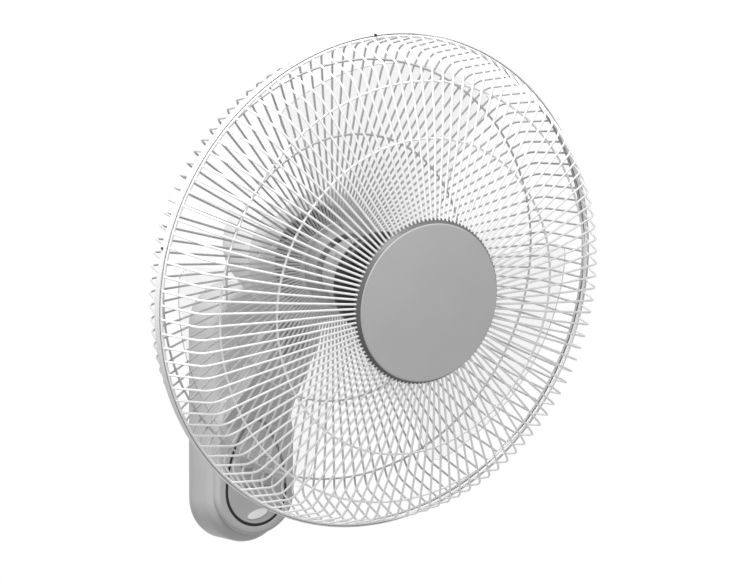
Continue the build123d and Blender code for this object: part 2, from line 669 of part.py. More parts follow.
with BuildPart() as motor_front_cover:
    add(turned(((SHELL_SEAM, SHELL_R), (SHELL_SHOULDER, SHELL_R), (NOSE_FLANGE_BACK, NOSE_FLANGE_R),
                (rear_plate_back, NOSE_FLANGE_R)), TURNED_SIDES))
    with BuildSketch(head.offset(rear_plate_back)):
        Circle(NOSE_TUBE_R)
    extrude(amount=NOSE_TUBE_END - rear_plate_back)
    add(turned(((SHELL_SEAM, SHELL_R - SHELL_WALL), (STATOR_FRONT, STATOR_R)), TURNED_SIDES),
        mode=Mode.SUBTRACT)
    add(turned(((STATOR_FRONT, STATOR_R - CLAMP_WALL), (WINDING_ROOM, STATOR_R - CLAMP_WALL),
                (BEARING_ROOM, BEARING_R)), TURNED_SIDES), mode=Mode.SUBTRACT)
    with BuildSketch(head.offset(BEARING_ROOM)):
        RegularPolygon(BEARING_R, BEARING_SIDES)
    extrude(amount=FRONT_BEARING_BACK + BEARING_LENGTH - BEARING_ROOM, mode=Mode.SUBTRACT)
    with BuildSketch(head.offset(NOSE_TUBE_END)):
        Circle(NOSE_BORE_R)
    extrude(amount=FRONT_BEARING_BACK - NOSE_TUBE_END, mode=Mode.SUBTRACT)
    with BuildSketch(head.offset(SHELL_SHOULDER)):
        with PolarLocations(NOSE_FLANGE_R, VENT_COUNT):
            with Locations((VENT_LENGTH / 2, 0)):
                Rectangle(VENT_LENGTH, VENT_WIDTH, align=(Align.MIN, Align.CENTER))
    extrude(amount=NOSE_FLANGE_BACK - SHELL_SHOULDER, mode=Mode.SUBTRACT)

with BuildPart() as stator_core:
    with BuildSketch(head.offset(STATOR_BACK)):
        RegularPolygon(STATOR_R, CORE_SIDES)
        RegularPolygon(STATOR_BORE_R, CORE_SIDES, mode=Mode.SUBTRACT)
    extrude(amount=STATOR_FRONT - STATOR_BACK)

with BuildPart() as stator_windings:
    for winding_back in (STATOR_FRONT, STATOR_BACK - WINDING_LENGTH):
        with BuildSketch(head.offset(winding_back)):
            RegularPolygon(WINDING_OUTER_R, CORE_SIDES)
            RegularPolygon(WINDING_INNER_R, CORE_SIDES, mode=Mode.SUBTRACT)
        extrude(amount=WINDING_LENGTH)

with BuildPart() as front_bearing:
    with BuildSketch(head.offset(FRONT_BEARING_BACK)):
        RegularPolygon(BEARING_R, BEARING_SIDES)
        Circle(bearing_bore_r, mode=Mode.SUBTRACT)
    extrude(amount=BEARING_LENGTH)

with BuildPart() as rear_bearing:
    with BuildSketch(head.offset(REAR_BEARING_BACK)):
        RegularPolygon(BEARING_R, BEARING_SIDES)
        Circle(bearing_bore_r, mode=Mode.SUBTRACT)
    extrude(amount=BEARING_LENGTH)

with BuildPart() as swing_gearbox:
    with BuildSketch(head.offset(GEARBOX_BACK)):
        with Locations(((GEARBOX_LEFT + GEARBOX_RIGHT) / 2, (GEARBOX_TOP + GEARBOX_BOTTOM) / 2)):
            Rectangle(GEARBOX_RIGHT - GEARBOX_LEFT, GEARBOX_TOP - GEARBOX_BOTTOM)
    extrude(amount=GEARBOX_FRONT - GEARBOX_BACK)
    with BuildSketch(meridian):
        ring_section(BEARING_R, GEARBOX_BOSS_R, GEARBOX_FRONT, REAR_BEARING_BACK + BEARING_LENGTH)
    revolve(axis=head_axis)
    with BuildSketch(head.offset(SHAFT_BACK - 1)):
        Circle(SHAFT_R + AIR_GAP)
    extrude(amount=GEARBOX_FRONT - SHAFT_BACK + 1, mode=Mode.SUBTRACT)
    with BuildSketch(neck.offset(crank_top)):
        with Locations(crank_centre):
            Circle(CRANK_SHAFT_R + RUN_FIT)
    extrude(amount=NECK_RISE + CRANK_SHAFT_TOP + SLIDE_GAP - crank_top, mode=Mode.SUBTRACT)

with BuildPart() as swing_bracket:
    with BuildSketch(head_side):
        with BuildLine():
            Polyline((GEARBOX_FRONT, BRACKET_BOTTOM), (BRACKET_FRONT, BRACKET_BOTTOM),
                     (BRACKET_FRONT, BRACKET_SADDLE_TOP), (BRACKET_HEEL, BRACKET_SADDLE_TOP),
                     (BRACKET_HEEL, BRACKET_HEEL_TOP), (GEARBOX_FRONT, BRACKET_HEEL_TOP),
                     close=True)
        make_face()
    extrude(amount=BRACKET_HALF_WIDTH, both=True)
    with BuildSketch(neck.offset(boss_bottom)):
        Circle(BRACKET_BOSS_R)
    extrude(amount=NECK_RISE + BRACKET_BOTTOM - boss_bottom)
    with BuildSketch(head.offset(BRACKET_HEEL)):
        Circle(STATOR_R)
    extrude(amount=BRACKET_FRONT - BRACKET_HEEL, mode=Mode.SUBTRACT)
    with BuildSketch(neck.offset(boss_bottom)):
        Circle(SWING_PIN_R + RUN_FIT)
    extrude(amount=NECK_RISE - boss_bottom, mode=Mode.SUBTRACT)

with BuildPart() as rotor_shaft:
    with BuildSketch(head.offset(SHAFT_BACK)):
        Circle(SHAFT_R)
    extrude(amount=SHAFT_FRONT - SHAFT_BACK)

with BuildPart() as rotor_core:
    with BuildSketch(head.offset(STATOR_BACK)):
        RegularPolygon(STATOR_BORE_R - AIR_GAP, CORE_SIDES)
        Circle(SHAFT_R, mode=Mode.SUBTRACT)
    extrude(amount=STATOR_FRONT - STATOR_BACK)


# ---- Wire guard --------------------------------------------------------------------------------
def wire_ring(radius, height, corner_r, facing):
    """Ring of three-sided wire in straight runs, whose flat side faces (radial, forward).

    radius is measured to the corners between the runs.
    """
    run_angle = 360 / RING_RUNS
    seam = polar_point(radius * cos(radians(run_angle / 2)), 0)
    with BuildPart() as ring:
        with BuildLine(head.offset(height)) as path:
            Polyline(seam, *(polar_point(radius, run_angle * (run + 0.5)) for run in range(RING_RUNS)),
                     seam)
        with BuildSketch(Plane(origin=path.line @ 0, x_dir=head.x_dir, z_dir=path.line % 0)):
            RegularPolygon(corner_r, 3, rotation=degrees(atan2(facing[1], -facing[0])))
        sweep(path=path.line, transition=Transition.RIGHT)
    return ring.part


def hoop(start, end, radius, out):
    """Hoop lying flat against the wires, on the blade side of a straight stretch of their route."""
    run = Vector(end[0] - start[0], end[1] - start[1]).normalized()
    off = Vector(-run.Y, run.X) * out
    share = (radius - start[0]) / (end[0] - start[0])
    height = start[1] + share * (end[1] - start[1])
    spot = Vector(radius, height) - off * (2 * wire_flat + WELD_GAP)
    return wire_ring(spot.X, spot.Y, WIRE_RADIUS, (off.X, off.Y))


def wire_guard(route, hoops, plate_sizes, out):
    """One half of the guard: radial wires on a rim, with hoops and an eye plate on the blade side.

    route runs from the eye out to the rim as (radius, forward) points, and each hoop is (stretch of
    the route, radius). out is +1 for the front half and -1 for the rear half, which looks back.
    """
    rim_corner_r = BAND_R - RIM_RADIUS * cos(radians(30))
    rim_mid_r = rim_corner_r * cos(radians(180 / RING_RUNS))
    rim_height = RIM_FAR - RIM_RADIUS / 2
    with BuildPart() as wire:
        with BuildLine(meridian) as path:
            Polyline(*route, (rim_mid_r, out * (RIM_FAR - RIM_SINK)))
        with BuildSketch(Plane(origin=path.line @ 0, x_dir=head.y_dir, z_dir=path.line % 0)):
            RegularPolygon(WIRE_RADIUS, 3, rotation=90 * out)
        sweep(path=path.line, transition=Transition.RIGHT)
    with BuildPart(head) as guard:
        with PolarLocations(0, WIRE_COUNT, start_angle=WIRE_PHASE):
            add(wire.part.moved(head.location.inverse()))
        rings = [wire_ring(rim_corner_r, out * rim_height, RIM_RADIUS, (0, out))]
        rings += [hoop(route[stretch], route[stretch + 1], radius, out) for stretch, radius in hoops]
        for ring in rings:
            add(ring.moved(head.location.inverse()))
        with BuildSketch(meridian):
            ring_section(*plate_sizes)
        revolve(axis=head_axis)
    return guard.part


front_guard = wire_guard(
    ((FRONT_EYE_R, FRONT_EYE), (FRONT_BREAK_R, FRONT_BREAK), (front_corner_r, FRONT_CORNER)),
    ((0, FRONT_BREAK_R - HOOP_SEAT), (1, BAND_R - FRONT_HOOP_INSET)),
    (0, FRONT_PLATE_R, front_plate_top - GUARD_PLATE_THICKNESS, front_plate_top), 1)
rear_guard = wire_guard(
    ((REAR_EYE_R, REAR_EYE), (rear_corner_r, REAR_CORNER)),
    ((0, REAR_INNER_HOOP_R), (0, BAND_R - REAR_HOOP_INSET)),
    (NOSE_TUBE_R, REAR_PLATE_R, rear_plate_back, rear_plate_front), -1)

with BuildPart() as guard_band:
    with BuildSketch(meridian):
        ring_section(BAND_R, BAND_R + BAND_THICKNESS, -BAND_HALF_WIDTH, BAND_HALF_WIDTH)
    revolve(axis=head_axis)

with BuildPart() as band_clips:
    band_outer = BAND_R + BAND_THICKNESS
    with BuildSketch(meridian):
        ring_section(band_outer, band_outer + CLIP_HEIGHT, -BAND_HALF_WIDTH, BAND_HALF_WIDTH)
    revolve(axis=head_axis)
    with BuildSketch(head.offset(-BAND_HALF_WIDTH)):
        for angle in CLIP_ANGLES:
            with PolarLocations(band_outer, 1, start_angle=angle):
                Rectangle(4 * CLIP_HEIGHT, CLIP_LENGTH)
    extrude(amount=2 * BAND_HALF_WIDTH, mode=Mode.INTERSECT)

with BuildPart() as guard_nut:
    nut_front = rear_plate_front + NUT_LENGTH
    add(turned(((rear_plate_front, NUT_FLANGE_R),
                (rear_plate_front + NUT_FLANGE_THICKNESS, NUT_FLANGE_R), (nut_front, NUT_TOP_R)),
               TURNED_SIDES))
    with BuildSketch(head.offset(rear_plate_front)):
        Circle(NOSE_TUBE_R)
    extrude(amount=NUT_LENGTH, mode=Mode.SUBTRACT)
    with BuildSketch(head.offset(nut_front - NUT_SLOT_DEPTH)):
        with PolarLocations(NUT_SLOT_R, NUT_SLOTS):
            Rectangle(NUT_SLOT_SIZE, NUT_SLOT_SIZE)
    extrude(amount=NUT_SLOT_DEPTH, mode=Mode.SUBTRACT)

wire_top = WIRE_RADIUS * hypot(1, front_slope) + SLIDE_GAP
cap_back = FRONT_EYE - front_slope * (CAP_R - FRONT_EYE_R) + wire_top
cap_under = FRONT_EYE + wire_top
cap_edge = cap_back + CAP_EDGE_HEIGHT
with BuildPart() as front_cap:
    add(turned(((cap_back, CAP_R), (cap_edge, CAP_R),
                (cap_edge + CAP_CROWN - CAP_FLAT_DROP, CAP_SHOULDER_R),
                (cap_edge + CAP_CROWN, CAP_FLAT_R)), CAP_SIDES))
    add(turned(((cap_back, CAP_R), (cap_under, FRONT_EYE_R)), CAP_SIDES), mode=Mode.SUBTRACT)
    with BuildSketch(head.offset(front_plate_top)):
        Circle(CAP_BOSS_R)
    extrude(amount=cap_under - front_plate_top)


# ---- Fan blades --------------------------------------------------------------------------------
root_r = HUB_R - HUB_WALL / 2
trim_r = tip_r + BLADE_TRIM


def blade_section(angle):
    """Corners of the blade's section on a radial line: root and tip in front, tip and root behind."""
    tip_n = TIP_TRAIL_N - TIP_PITCH * (TRAIL_ANGLE - angle)
    root_n = ROOT_TRAIL_N - ROOT_PITCH * (TRAIL_ANGLE - angle)
    return [head.from_local_coords(Vector(*polar_point(radius, angle), height)) for radius, height in (
        (root_r, root_n), (trim_r, tip_n), (trim_r, tip_n - BLADE_TIP_THICKNESS),
        (root_r, root_n - BLADE_ROOT_THICKNESS))]


def blade_skin():
    """Twisted wedge of flat facets from the hub to the tip, before its outline is cut."""
    step = (TRAIL_ANGLE - ROOT_LEAD_ANGLE) / BLADE_STRIPS
    rows = [blade_section(ROOT_LEAD_ANGLE + step * strip) for strip in range(BLADE_STRIPS + 1)]
    facets = [rows[0], rows[-1]]
    for near, far in zip(rows, rows[1:]):
        for corner in range(4):
            after = (corner + 1) % 4
            facets += [(near[corner], near[after], far[after]), (near[corner], far[after], far[corner])]
    return faceted(facets)


with BuildPart() as blade:
    add(blade_skin())
    with BuildSketch(head.offset(HUB_BACK - HUB_R)):
        belly, shoulder = (polar_point(*place) for place in LEAD_BELLY)
        with BuildLine():
            ThreePointArc(polar_point(root_r, ROOT_LEAD_ANGLE), belly, shoulder)
            Line(shoulder, polar_point(tip_r, TIP_LEAD_ANGLE))
            CenterArc((0, 0), tip_r, TIP_LEAD_ANGLE, TRAIL_ANGLE - TIP_LEAD_ANGLE)
            Line(polar_point(tip_r, TRAIL_ANGLE), polar_point(root_r, TRAIL_ANGLE))
            CenterArc((0, 0), root_r, ROOT_LEAD_ANGLE, TRAIL_ANGLE - ROOT_LEAD_ANGLE)
        make_face()
        for angle in (TIP_LEAD_ANGLE, TRAIL_ANGLE):
            fillet(vertices().sort_by_distance((*polar_point(tip_r, angle), 0))[0], TIP_CORNER_R)
    extrude(amount=HUB_FRONT - HUB_BACK + 2 * HUB_R, mode=Mode.INTERSECT)

with BuildPart(head) as fan_blades:
    with PolarLocations(0, BLADE_COUNT):
        add(blade.part.moved(head.location.inverse()))
    with BuildSketch(meridian):
        with BuildLine():
            Polyline((SHAFT_R, HUB_FRONT), (HUB_R - HUB_WALL, HUB_FRONT),
                     (HUB_R, HUB_FRONT - HUB_WALL), (HUB_R, HUB_BACK), (HUB_R - HUB_WALL, HUB_BACK),
                     (HUB_R - HUB_WALL, HUB_FRONT - HUB_WEB), (HUB_SLEEVE_R, HUB_FRONT - HUB_WEB),
                     (HUB_SLEEVE_R, HUB_BACK + HUB_WEB), (SHAFT_R, HUB_BACK + HUB_WEB), close=True)
        make_face()
    revolve(axis=head_axis)

with BuildPart() as blade_nut:
    with BuildSketch(head.offset(HUB_FRONT)):
        RegularPolygon(BLADE_NUT_R, 6)
        Circle(SHAFT_R, mode=Mode.SUBTRACT)
    extrude(amount=BLADE_NUT_LENGTH)

# ---- Files -------------------------------------------------------------------------------------
for piece, label in (
        (wall_plate.part, "wall_plate"), (base_housing.part, "base_housing"),
        (lock_screw.part, "lock_screw"), (cord_inlet.part, "cord_inlet"),
        (cover_screws.part, "cover_screws"), (run_capacitor.part, "run_capacitor"),
        (terminal_block.part, "terminal_block"), (front_cover.part, "front_cover"),
        (panel_seal.part, "panel_seal"), (control_panel.part, "control_panel"),
        (receiver_lens.part, "receiver_lens"), (circuit_board.part, "circuit_board"),
        *button_parts, (tilt_bolt.part, "tilt_bolt"), (tilt_nut.part, "tilt_nut"),
        (neck_bracket.part, "neck_bracket"), (swing_pin.part, "swing_pin"),
        (thrust_washer.part, "thrust_washer"), (crank_disc.part, "crank_disc"),
        (swing_link.part, "swing_link"), (motor_rear_cover.part, "motor_rear_cover"),
        (motor_front_cover.part, "motor_front_cover"), (stator_core.part, "stator_core"),
        (stator_windings.part, "stator_windings"), (front_bearing.part, "front_bearing"),
        (rear_bearing.part, "rear_bearing"), (swing_gearbox.part, "swing_gearbox"),
        (swing_bracket.part, "swing_bracket"), (rotor_shaft.part, "rotor_shaft"),
        (rotor_core.part, "rotor_core"), (front_guard, "front_guard"), (rear_guard, "rear_guard"),
        (guard_band.part, "guard_band"), (band_clips.part, "band_clips"),
        (guard_nut.part, "guard_nut"), (front_cap.part, "front_cap"),
        (fan_blades.part, "fan_blades"), (blade_nut.part, "blade_nut")):
    save(piece, label)
print(f"band centre {centre}, swing limit {swing_limit:.1f} degrees")
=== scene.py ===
"""Looks of a wall-mounted fan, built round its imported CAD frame.

Points are drawn in two local frames, in millimetres: the wall's (across, up, out of the wall) and
the head's (across, up, forward along the fan's axis, 0 at the middle of the guard band).
"""
import json
import logging
from dataclasses import dataclass, field
from enum import Enum
from math import cos, hypot, pi, radians, sin, sqrt, tan
from typing import Callable, Optional, Sequence, Union

import bpy
from mathutils import Matrix, Vector


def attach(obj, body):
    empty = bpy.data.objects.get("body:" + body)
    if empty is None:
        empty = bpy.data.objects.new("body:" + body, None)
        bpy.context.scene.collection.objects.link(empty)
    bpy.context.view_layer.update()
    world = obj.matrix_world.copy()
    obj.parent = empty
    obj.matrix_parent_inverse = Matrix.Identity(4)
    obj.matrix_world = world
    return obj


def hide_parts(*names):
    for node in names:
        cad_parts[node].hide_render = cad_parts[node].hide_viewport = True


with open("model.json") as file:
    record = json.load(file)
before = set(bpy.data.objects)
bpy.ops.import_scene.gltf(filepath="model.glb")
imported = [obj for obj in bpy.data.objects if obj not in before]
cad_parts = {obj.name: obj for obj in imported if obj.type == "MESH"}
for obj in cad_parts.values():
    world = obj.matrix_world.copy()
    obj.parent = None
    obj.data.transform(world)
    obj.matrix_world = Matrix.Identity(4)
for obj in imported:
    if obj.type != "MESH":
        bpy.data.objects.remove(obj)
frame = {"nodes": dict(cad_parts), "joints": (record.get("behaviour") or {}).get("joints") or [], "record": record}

log = logging.getLogger("fan")
MM = 0.001

# ---- Driving sizes, in millimetres and degrees ----
WIRE_COUNT = 112
FIRST_WIRE = 0.5             # angle of the first wire
WIRE_R = 1.0
WELD_SINK = 0.15             # how far a hoop is pressed into the wires that it carries
RIM_WIRE_R = 1.4
RIM_R = 218.2
RIM_HEIGHT = 2.4             # of each rim from the middle of the band
BAND_R = 220.0
BAND_OUTER_R = 221.2
CAP_R = 69.5
TIP_R = 193.5                # of the blades
HUB_R = 30.0
SHELL_R = 61.0               # of the motor


# ---- Local frames ----
@dataclass(frozen=True)
class LocalFrame:
    """Origin and axes in which a group of pieces is drawn."""

    origin: Vector
    across: Vector
    up: Vector
    along: Vector

    def point(self, x: float, y: float, z: float) -> Vector:
        """Place of a local point in millimetres, in metres in the shared frame."""
        return self.origin + (self.across * x + self.up * y + self.along * z) * MM

    def radial(self, angle: float) -> Vector:
        """Unit vector at an angle in radians from across towards up."""
        return self.across * cos(angle) + self.up * sin(angle)

    def polar(self, radius: float, angle: float, along: float) -> Vector:
        """Place of a point at a radius and an angle round the local axis."""
        return self.origin + (self.radial(angle) * radius + self.along * along) * MM


def head_frame() -> LocalFrame:
    """Frame of the fan head.

    Returns:
        The frame whose origin and axis are those of the joint that the blades spin on.
    """
    spin = next(joint for joint in frame["joints"] if joint["name"] == "blade_spin")
    along = Vector(spin["axis"]).normalized()
    across = Vector((1, 0, 0))
    return LocalFrame(Vector(spin["pos_m"]), across, along.cross(across), along)


HEAD = head_frame()
WALL = LocalFrame(Vector((0, 0, 0)), Vector((1, 0, 0)), Vector((0, 0, 1)), Vector((0, -1, 0)))


# ---- Shader graph ----
class Signal:
    """Output socket of a shader node, with arithmetic that adds Math nodes."""

    def __init__(self, graph: "Graph", socket: bpy.types.NodeSocket) -> None:
        """Wrap one output socket of a graph."""
        self.graph = graph
        self.socket = socket

    def __add__(self, other: "Value") -> "Signal":
        """Sum."""
        return self.graph.math("ADD", self, other)

    def __radd__(self, other: "Value") -> "Signal":
        """Sum, with the signal on the right."""
        return self.graph.math("ADD", other, self)

    def __sub__(self, other: "Value") -> "Signal":
        """Difference."""
        return self.graph.math("SUBTRACT", self, other)

    def __rsub__(self, other: "Value") -> "Signal":
        """Difference, with the signal on the right."""
        return self.graph.math("SUBTRACT", other, self)

    def __mul__(self, other: "Value") -> "Signal":
        """Product."""
        return self.graph.math("MULTIPLY", self, other)

    def __rmul__(self, other: "Value") -> "Signal":
        """Product, with the signal on the right."""
        return self.graph.math("MULTIPLY", other, self)


Value = Union[Signal, float]
Feed = Union[Signal, float, Sequence[float]]
Colour = tuple[float, float, float]


def linear(level: float) -> float:
    """Linear light of a display level from 0 to 255."""
    share = level / 255
    return share / 12.92 if share <= 0.04045 else ((share + 0.055) / 1.055) ** 2.4


def grey(level: float) -> Colour:
    """Neutral display colour."""
    return (level, level, level)


def shade(colour: Colour, gain: float = 1.0) -> tuple[float, float, float, float]:
    """Linear RGBA of a display colour, made lighter or darker by a gain."""
    return (*(min(1.0, linear(level) * gain) for level in colour), 1.0)


class Graph:
    """Node tree of a material or of the surround, filled by Python expressions."""

    def __init__(self, owner: Union[bpy.types.Material, bpy.types.World]) -> None:
        """Take over the node tree of a material or a world, and empty it.

        Args:
            owner: The material or the world.
        """
        owner.use_nodes = True
        self.owner = owner
        self.tree = owner.node_tree
        self.tree.nodes.clear()

    def node(self, kind: str, settings: Optional[dict] = None, **sockets: Feed) -> bpy.types.Node:
        """Add a node.

        Args:
            kind: Blender's type name of the node.
            settings: Properties, set before the sockets.
            **sockets: Inputs by name, with underscores for spaces; signals are linked.

        Returns:
            The new node.
        """
        node = self.tree.nodes.new(kind)
        for key, value in (settings or {}).items():
            setattr(node, key, value)
        for key, value in sockets.items():
            self.feed(node.inputs[key.replace("_", " ")], value)
        return node

    def feed(self, socket: bpy.types.NodeSocket, value: Feed) -> None:
        """Link a signal to an input, or set the input's own value.

        Args:
            socket: The input.
            value: Signal, number, vector or colour.
        """
        if isinstance(value, Signal):
            self.tree.links.new(value.socket, socket)
        else:
            socket.default_value = value

    def fill(self, node: bpy.types.Node, values: dict[int, Feed]) -> bpy.types.Node:
        """Feed inputs of a node by their place in its list.

        Args:
            node: The node.
            values: Signal or value for each place.

        Returns:
            The same node.
        """
        for place, value in values.items():
            self.feed(node.inputs[place], value)
        return node

    def signal(self, node: bpy.types.Node, output: Union[int, str] = 0) -> Signal:
        """One output of a node as a signal."""
        return Signal(self, node.outputs[output])

    def math(self, operation: str, first: Value, second: Value = 0.0) -> Signal:
        """Result of a Math node on one or two values."""
        node = self.node("ShaderNodeMath", {"operation": operation})
        return self.signal(self.fill(node, {0: first, 1: second}))

    def vector(self, operation: str, first: Feed, second: Feed = (0, 0, 0)) -> bpy.types.Node:
        """Vector Math node on one or two vectors."""
        node = self.node("ShaderNodeVectorMath", {"operation": operation})
        return self.fill(node, {0: first, 1: second})

    def place(self) -> Signal:
        """Place on the object at rest, in metres in the shared frame."""
        return self.signal(self.node("ShaderNodeTexCoord"), "Object")

    def noise(self, size: float, detail: float = 3.0,
              stretch: Sequence[float] = (1, 1, 1)) -> Signal:
        """Noise from 0 to 1, with grains of a size in millimetres, stretched along the axes."""
        where = self.vector("MULTIPLY", self.place(), tuple(1 / share for share in stretch))
        return self.signal(self.node("ShaderNodeTexNoise", None, Vector=self.signal(where),
                                     Scale=1 / (size * MM), Detail=detail), "Fac")

    def mix(self, factor: Value, first: Feed, second: Feed) -> Signal:
        """Colour between two colours, the first one at factor 0."""
        node = self.node("ShaderNodeMix", {"data_type": "RGBA"})
        return self.signal(self.fill(node, {0: factor, 6: first, 7: second}), 2)

    def ramp(self, value: Value, low: float, high: float, start: float = 0.0,
             end: float = 1.0) -> Signal:
        """Value carried from low..high to start..end, and held at both ends."""
        node = self.node("ShaderNodeMapRange", {"clamp": True})
        return self.signal(self.fill(node, {0: value, 1: low, 2: high, 3: start, 4: end}))

    def axial(self, where: LocalFrame) -> tuple[Signal, Signal]:
        """Place on the object in turned coordinates.

        Args:
            where: Frame whose axis they are measured from.

        Returns:
            Radius from the axis and place along it, in millimetres.
        """
        offset = self.signal(self.vector("SUBTRACT", self.place(), tuple(where.origin)))
        along = self.signal(self.vector("DOT_PRODUCT", offset, tuple(where.along)), "Value")
        reach = self.signal(self.vector("LENGTH", offset), "Value")
        radius = self.math("SQRT", self.math("MAXIMUM", reach * reach - along * along, 0.0))
        return radius * (1 / MM), along * (1 / MM)


class Grain(Enum):
    """What the surface of a finish is like close up."""

    MOULDED = "spark-eroded mould texture"
    PAINTED = "baked paint with a slight orange peel"
    TURNED = "fine rings round the head's axis"
    ROLLED = "rolled metal with fine scratches"
    CAST = "sand-blasted casting"
    WOUND = "turns of enamelled wire"
    STACKED = "edges of stacked sheets"
    WOVEN = "glass cloth under a varnish"
    CLEAR = "polished clear moulding"


@dataclass(frozen=True)
class Finish:
    """Procedural finish of one material slot."""

    slot: str
    colour: Colour
    roughness: float
    grain: Grain = Grain.MOULDED
    size: float = 0.35           # of the grain, in millimetres
    bump: float = 0.12
    cloud: float = 0.06          # slow change of colour across the surface
    metallic: float = 0.0
    coat: float = 0.0
    alpha: float = 1.0
    groove: Optional[Colour] = None

    def height(self, graph: Graph) -> Signal:
        """Fine relief of the surface.

        Args:
            graph: Tree to add its nodes to.

        Returns:
            Its height, from 0 to 1.
        """
        if self.grain is Grain.TURNED:
            radius, _ = graph.axial(HEAD)
            ring = graph.node("ShaderNodeTexNoise", {"noise_dimensions": "1D"}, W=radius,
                              Scale=1 / self.size, Detail=4.0)
            return graph.signal(ring, "Fac") * 0.8 + graph.noise(self.size, 2) * 0.2
        if self.grain is Grain.WOUND:
            radius, _ = graph.axial(HEAD)
            turns = graph.math("SINE", radius * (2 * pi / self.size))
            return turns * 0.4 + graph.noise(4 * self.size) * 0.6
        if self.grain is Grain.STACKED:
            _, along = graph.axial(HEAD)
            sheets = graph.math("PINGPONG", along, self.size)
            return sheets * (0.7 / self.size) + graph.noise(3) * 0.3
        if self.grain is Grain.ROLLED:
            return graph.noise(self.size, 5, (1, 1, 14))
        if self.grain is Grain.WOVEN:
            across = graph.noise(self.size, 2, (9, 1, 1))
            return across * 0.5 + graph.noise(self.size, 2, (1, 1, 9)) * 0.5
        return graph.noise(self.size, 4 if self.grain is Grain.CAST else 2)

    def tone(self, graph: Graph, height: Signal) -> Signal:
        """Colour of the surface, clouded slowly and a little darker in its grain.

        Args:
            graph: Tree to add its nodes to.
            height: Fine relief of the surface.

        Returns:
            The colour.
        """
        slow = graph.ramp(graph.noise(35, 3), 0.3, 0.7)
        base = graph.mix(slow, shade(self.colour, 1 - self.cloud),
                         shade(self.colour, 1 + self.cloud))
        low = self.groove or tuple(level * 0.9 for level in self.colour)
        deep = graph.ramp(height, 0.25, 0.55, 0.6 if self.groove else 0.25, 0.0)
        return graph.mix(deep, base, shade(low))

    def make(self) -> bpy.types.Material:
        """Build the material.

        Returns:
            The finish as a material named after its slot.
        """
        graph = Graph(bpy.data.materials.new(self.slot))
        height = self.height(graph)
        rough = graph.ramp(graph.noise(12, 4), 0.3, 0.7,
                           self.roughness * 0.88, self.roughness * 1.12)
        relief = graph.node("ShaderNodeBump", None, Strength=self.bump, Distance=self.size * MM,
                            Height=height)
        surface = graph.node("ShaderNodeBsdfPrincipled", None, Base_Color=self.tone(graph, height),
                             Roughness=rough, Metallic=self.metallic, Normal=graph.signal(relief),
                             Coat_Weight=self.coat, Coat_Roughness=0.2, Alpha=self.alpha)
        graph.node("ShaderNodeOutputMaterial", None, Surface=graph.signal(surface, "BSDF"))
        return graph.owner


FINISHES = (
    # mouldings of the base, the arm and the motor
    Finish("shell_plastic", grey(170), 0.46, cloud=0.03),
    # arm and pod front: a darker copy of the base plastic, painted shade cast by the head and the guard
    Finish("arm_shaded_plastic", grey(148), 0.46, cloud=0.03),
    Finish("panel_plastic", grey(163), 0.4, size=0.3, bump=0.08, cloud=0.03),
    Finish("motor_shell", grey(198), 0.42, cloud=0.03),
    # motor's front cover: a darker copy of the motor shell's plastic, painted shade behind the guard
    Finish("motor_front", grey(172), 0.46, cloud=0.03),
    Finish("button_plastic", grey(150), 0.42, size=0.3, bump=0.1),
    Finish("lens_plastic", grey(226), 0.22, size=2.0, bump=0.03, coat=0.4),
    Finish("gear_plastic", (228, 224, 212), 0.38, size=0.4, bump=0.08),
    Finish("nut_grey", grey(122), 0.4, size=0.4, bump=0.1),
    Finish("dark_plastic", grey(44), 0.5, size=0.4, bump=0.15),
    Finish("spinner_black", grey(14), 0.5, size=0.4),
    Finish("black_rubber", grey(16), 0.62, size=0.5, bump=0.15),
    # guard and band
    Finish("wire_grey", grey(240), 0.3, Grain.PAINTED, size=0.7, bump=0.05, cloud=0.01, coat=0.3),
    # rear wires: a darker copy of the wire paint, painted shade for wires seen from inside the guard
    Finish("rear_wire_shaded", grey(186), 0.34, Grain.PAINTED, size=0.7, bump=0.05, cloud=0.02, coat=0.2),
    Finish("band_grey", grey(222), 0.36, Grain.PAINTED, size=0.8, bump=0.06, cloud=0.02),
    # inside of the band's channel: the band paint made darker, painted shade
    Finish("band_inside_shaded", grey(135), 0.45, Grain.PAINTED, size=0.8, bump=0.08),
    # cap and blades
    Finish("cap_metallic", grey(185), 0.38, Grain.TURNED, bump=0.05, cloud=0.02, metallic=0.25),
    # cap's rounded edge: a darker copy of the cap finish, painted shade that damps the edge's highlight
    Finish("cap_rim_shaded", grey(174), 0.42, Grain.TURNED, bump=0.05),
    # cap's side wall: painted dark, painted shade under the cap's edge
    Finish("cap_side_shaded", grey(82), 0.5, Grain.TURNED, bump=0.05),
    Finish("clear_blade", grey(240), 0.08, Grain.CLEAR, size=6.0, bump=0.02, cloud=0.01,
           alpha=0.11),
    # edges of the clear blades: grey and half-opaque, painted stand-in for light bent in the clear edges
    Finish("blade_edge", grey(150), 0.12, Grain.CLEAR, size=6.0, bump=0.02, alpha=0.55),
    Finish("hub_clear", grey(150), 0.2, Grain.CLEAR, size=5.0, bump=0.03, alpha=0.8),
    # metal and board inside
    Finish("zinc_steel", (186, 188, 190), 0.34, Grain.ROLLED, size=0.4, bump=0.08, metallic=1.0),
    Finish("cast_metal", (150, 150, 152), 0.5, Grain.CAST, size=0.5, bump=0.3, metallic=0.8),
    Finish("iron", (96, 96, 98), 0.5, Grain.STACKED, size=0.5, bump=0.4, metallic=0.9,
           groove=(40, 40, 42)),
    Finish("copper", (186, 104, 62), 0.32, Grain.WOUND, size=0.8, bump=0.6, metallic=0.9,
           groove=(90, 38, 20)),
    Finish("board", (34, 84, 52), 0.4, Grain.WOVEN, size=0.6, bump=0.08, coat=0.5),
)
# front_cover takes the arm's painted shade.
OWN_FINISHES = {"guard_nut": "nut_grey", "front_cover": "arm_shaded_plastic"}    # other than their slot's


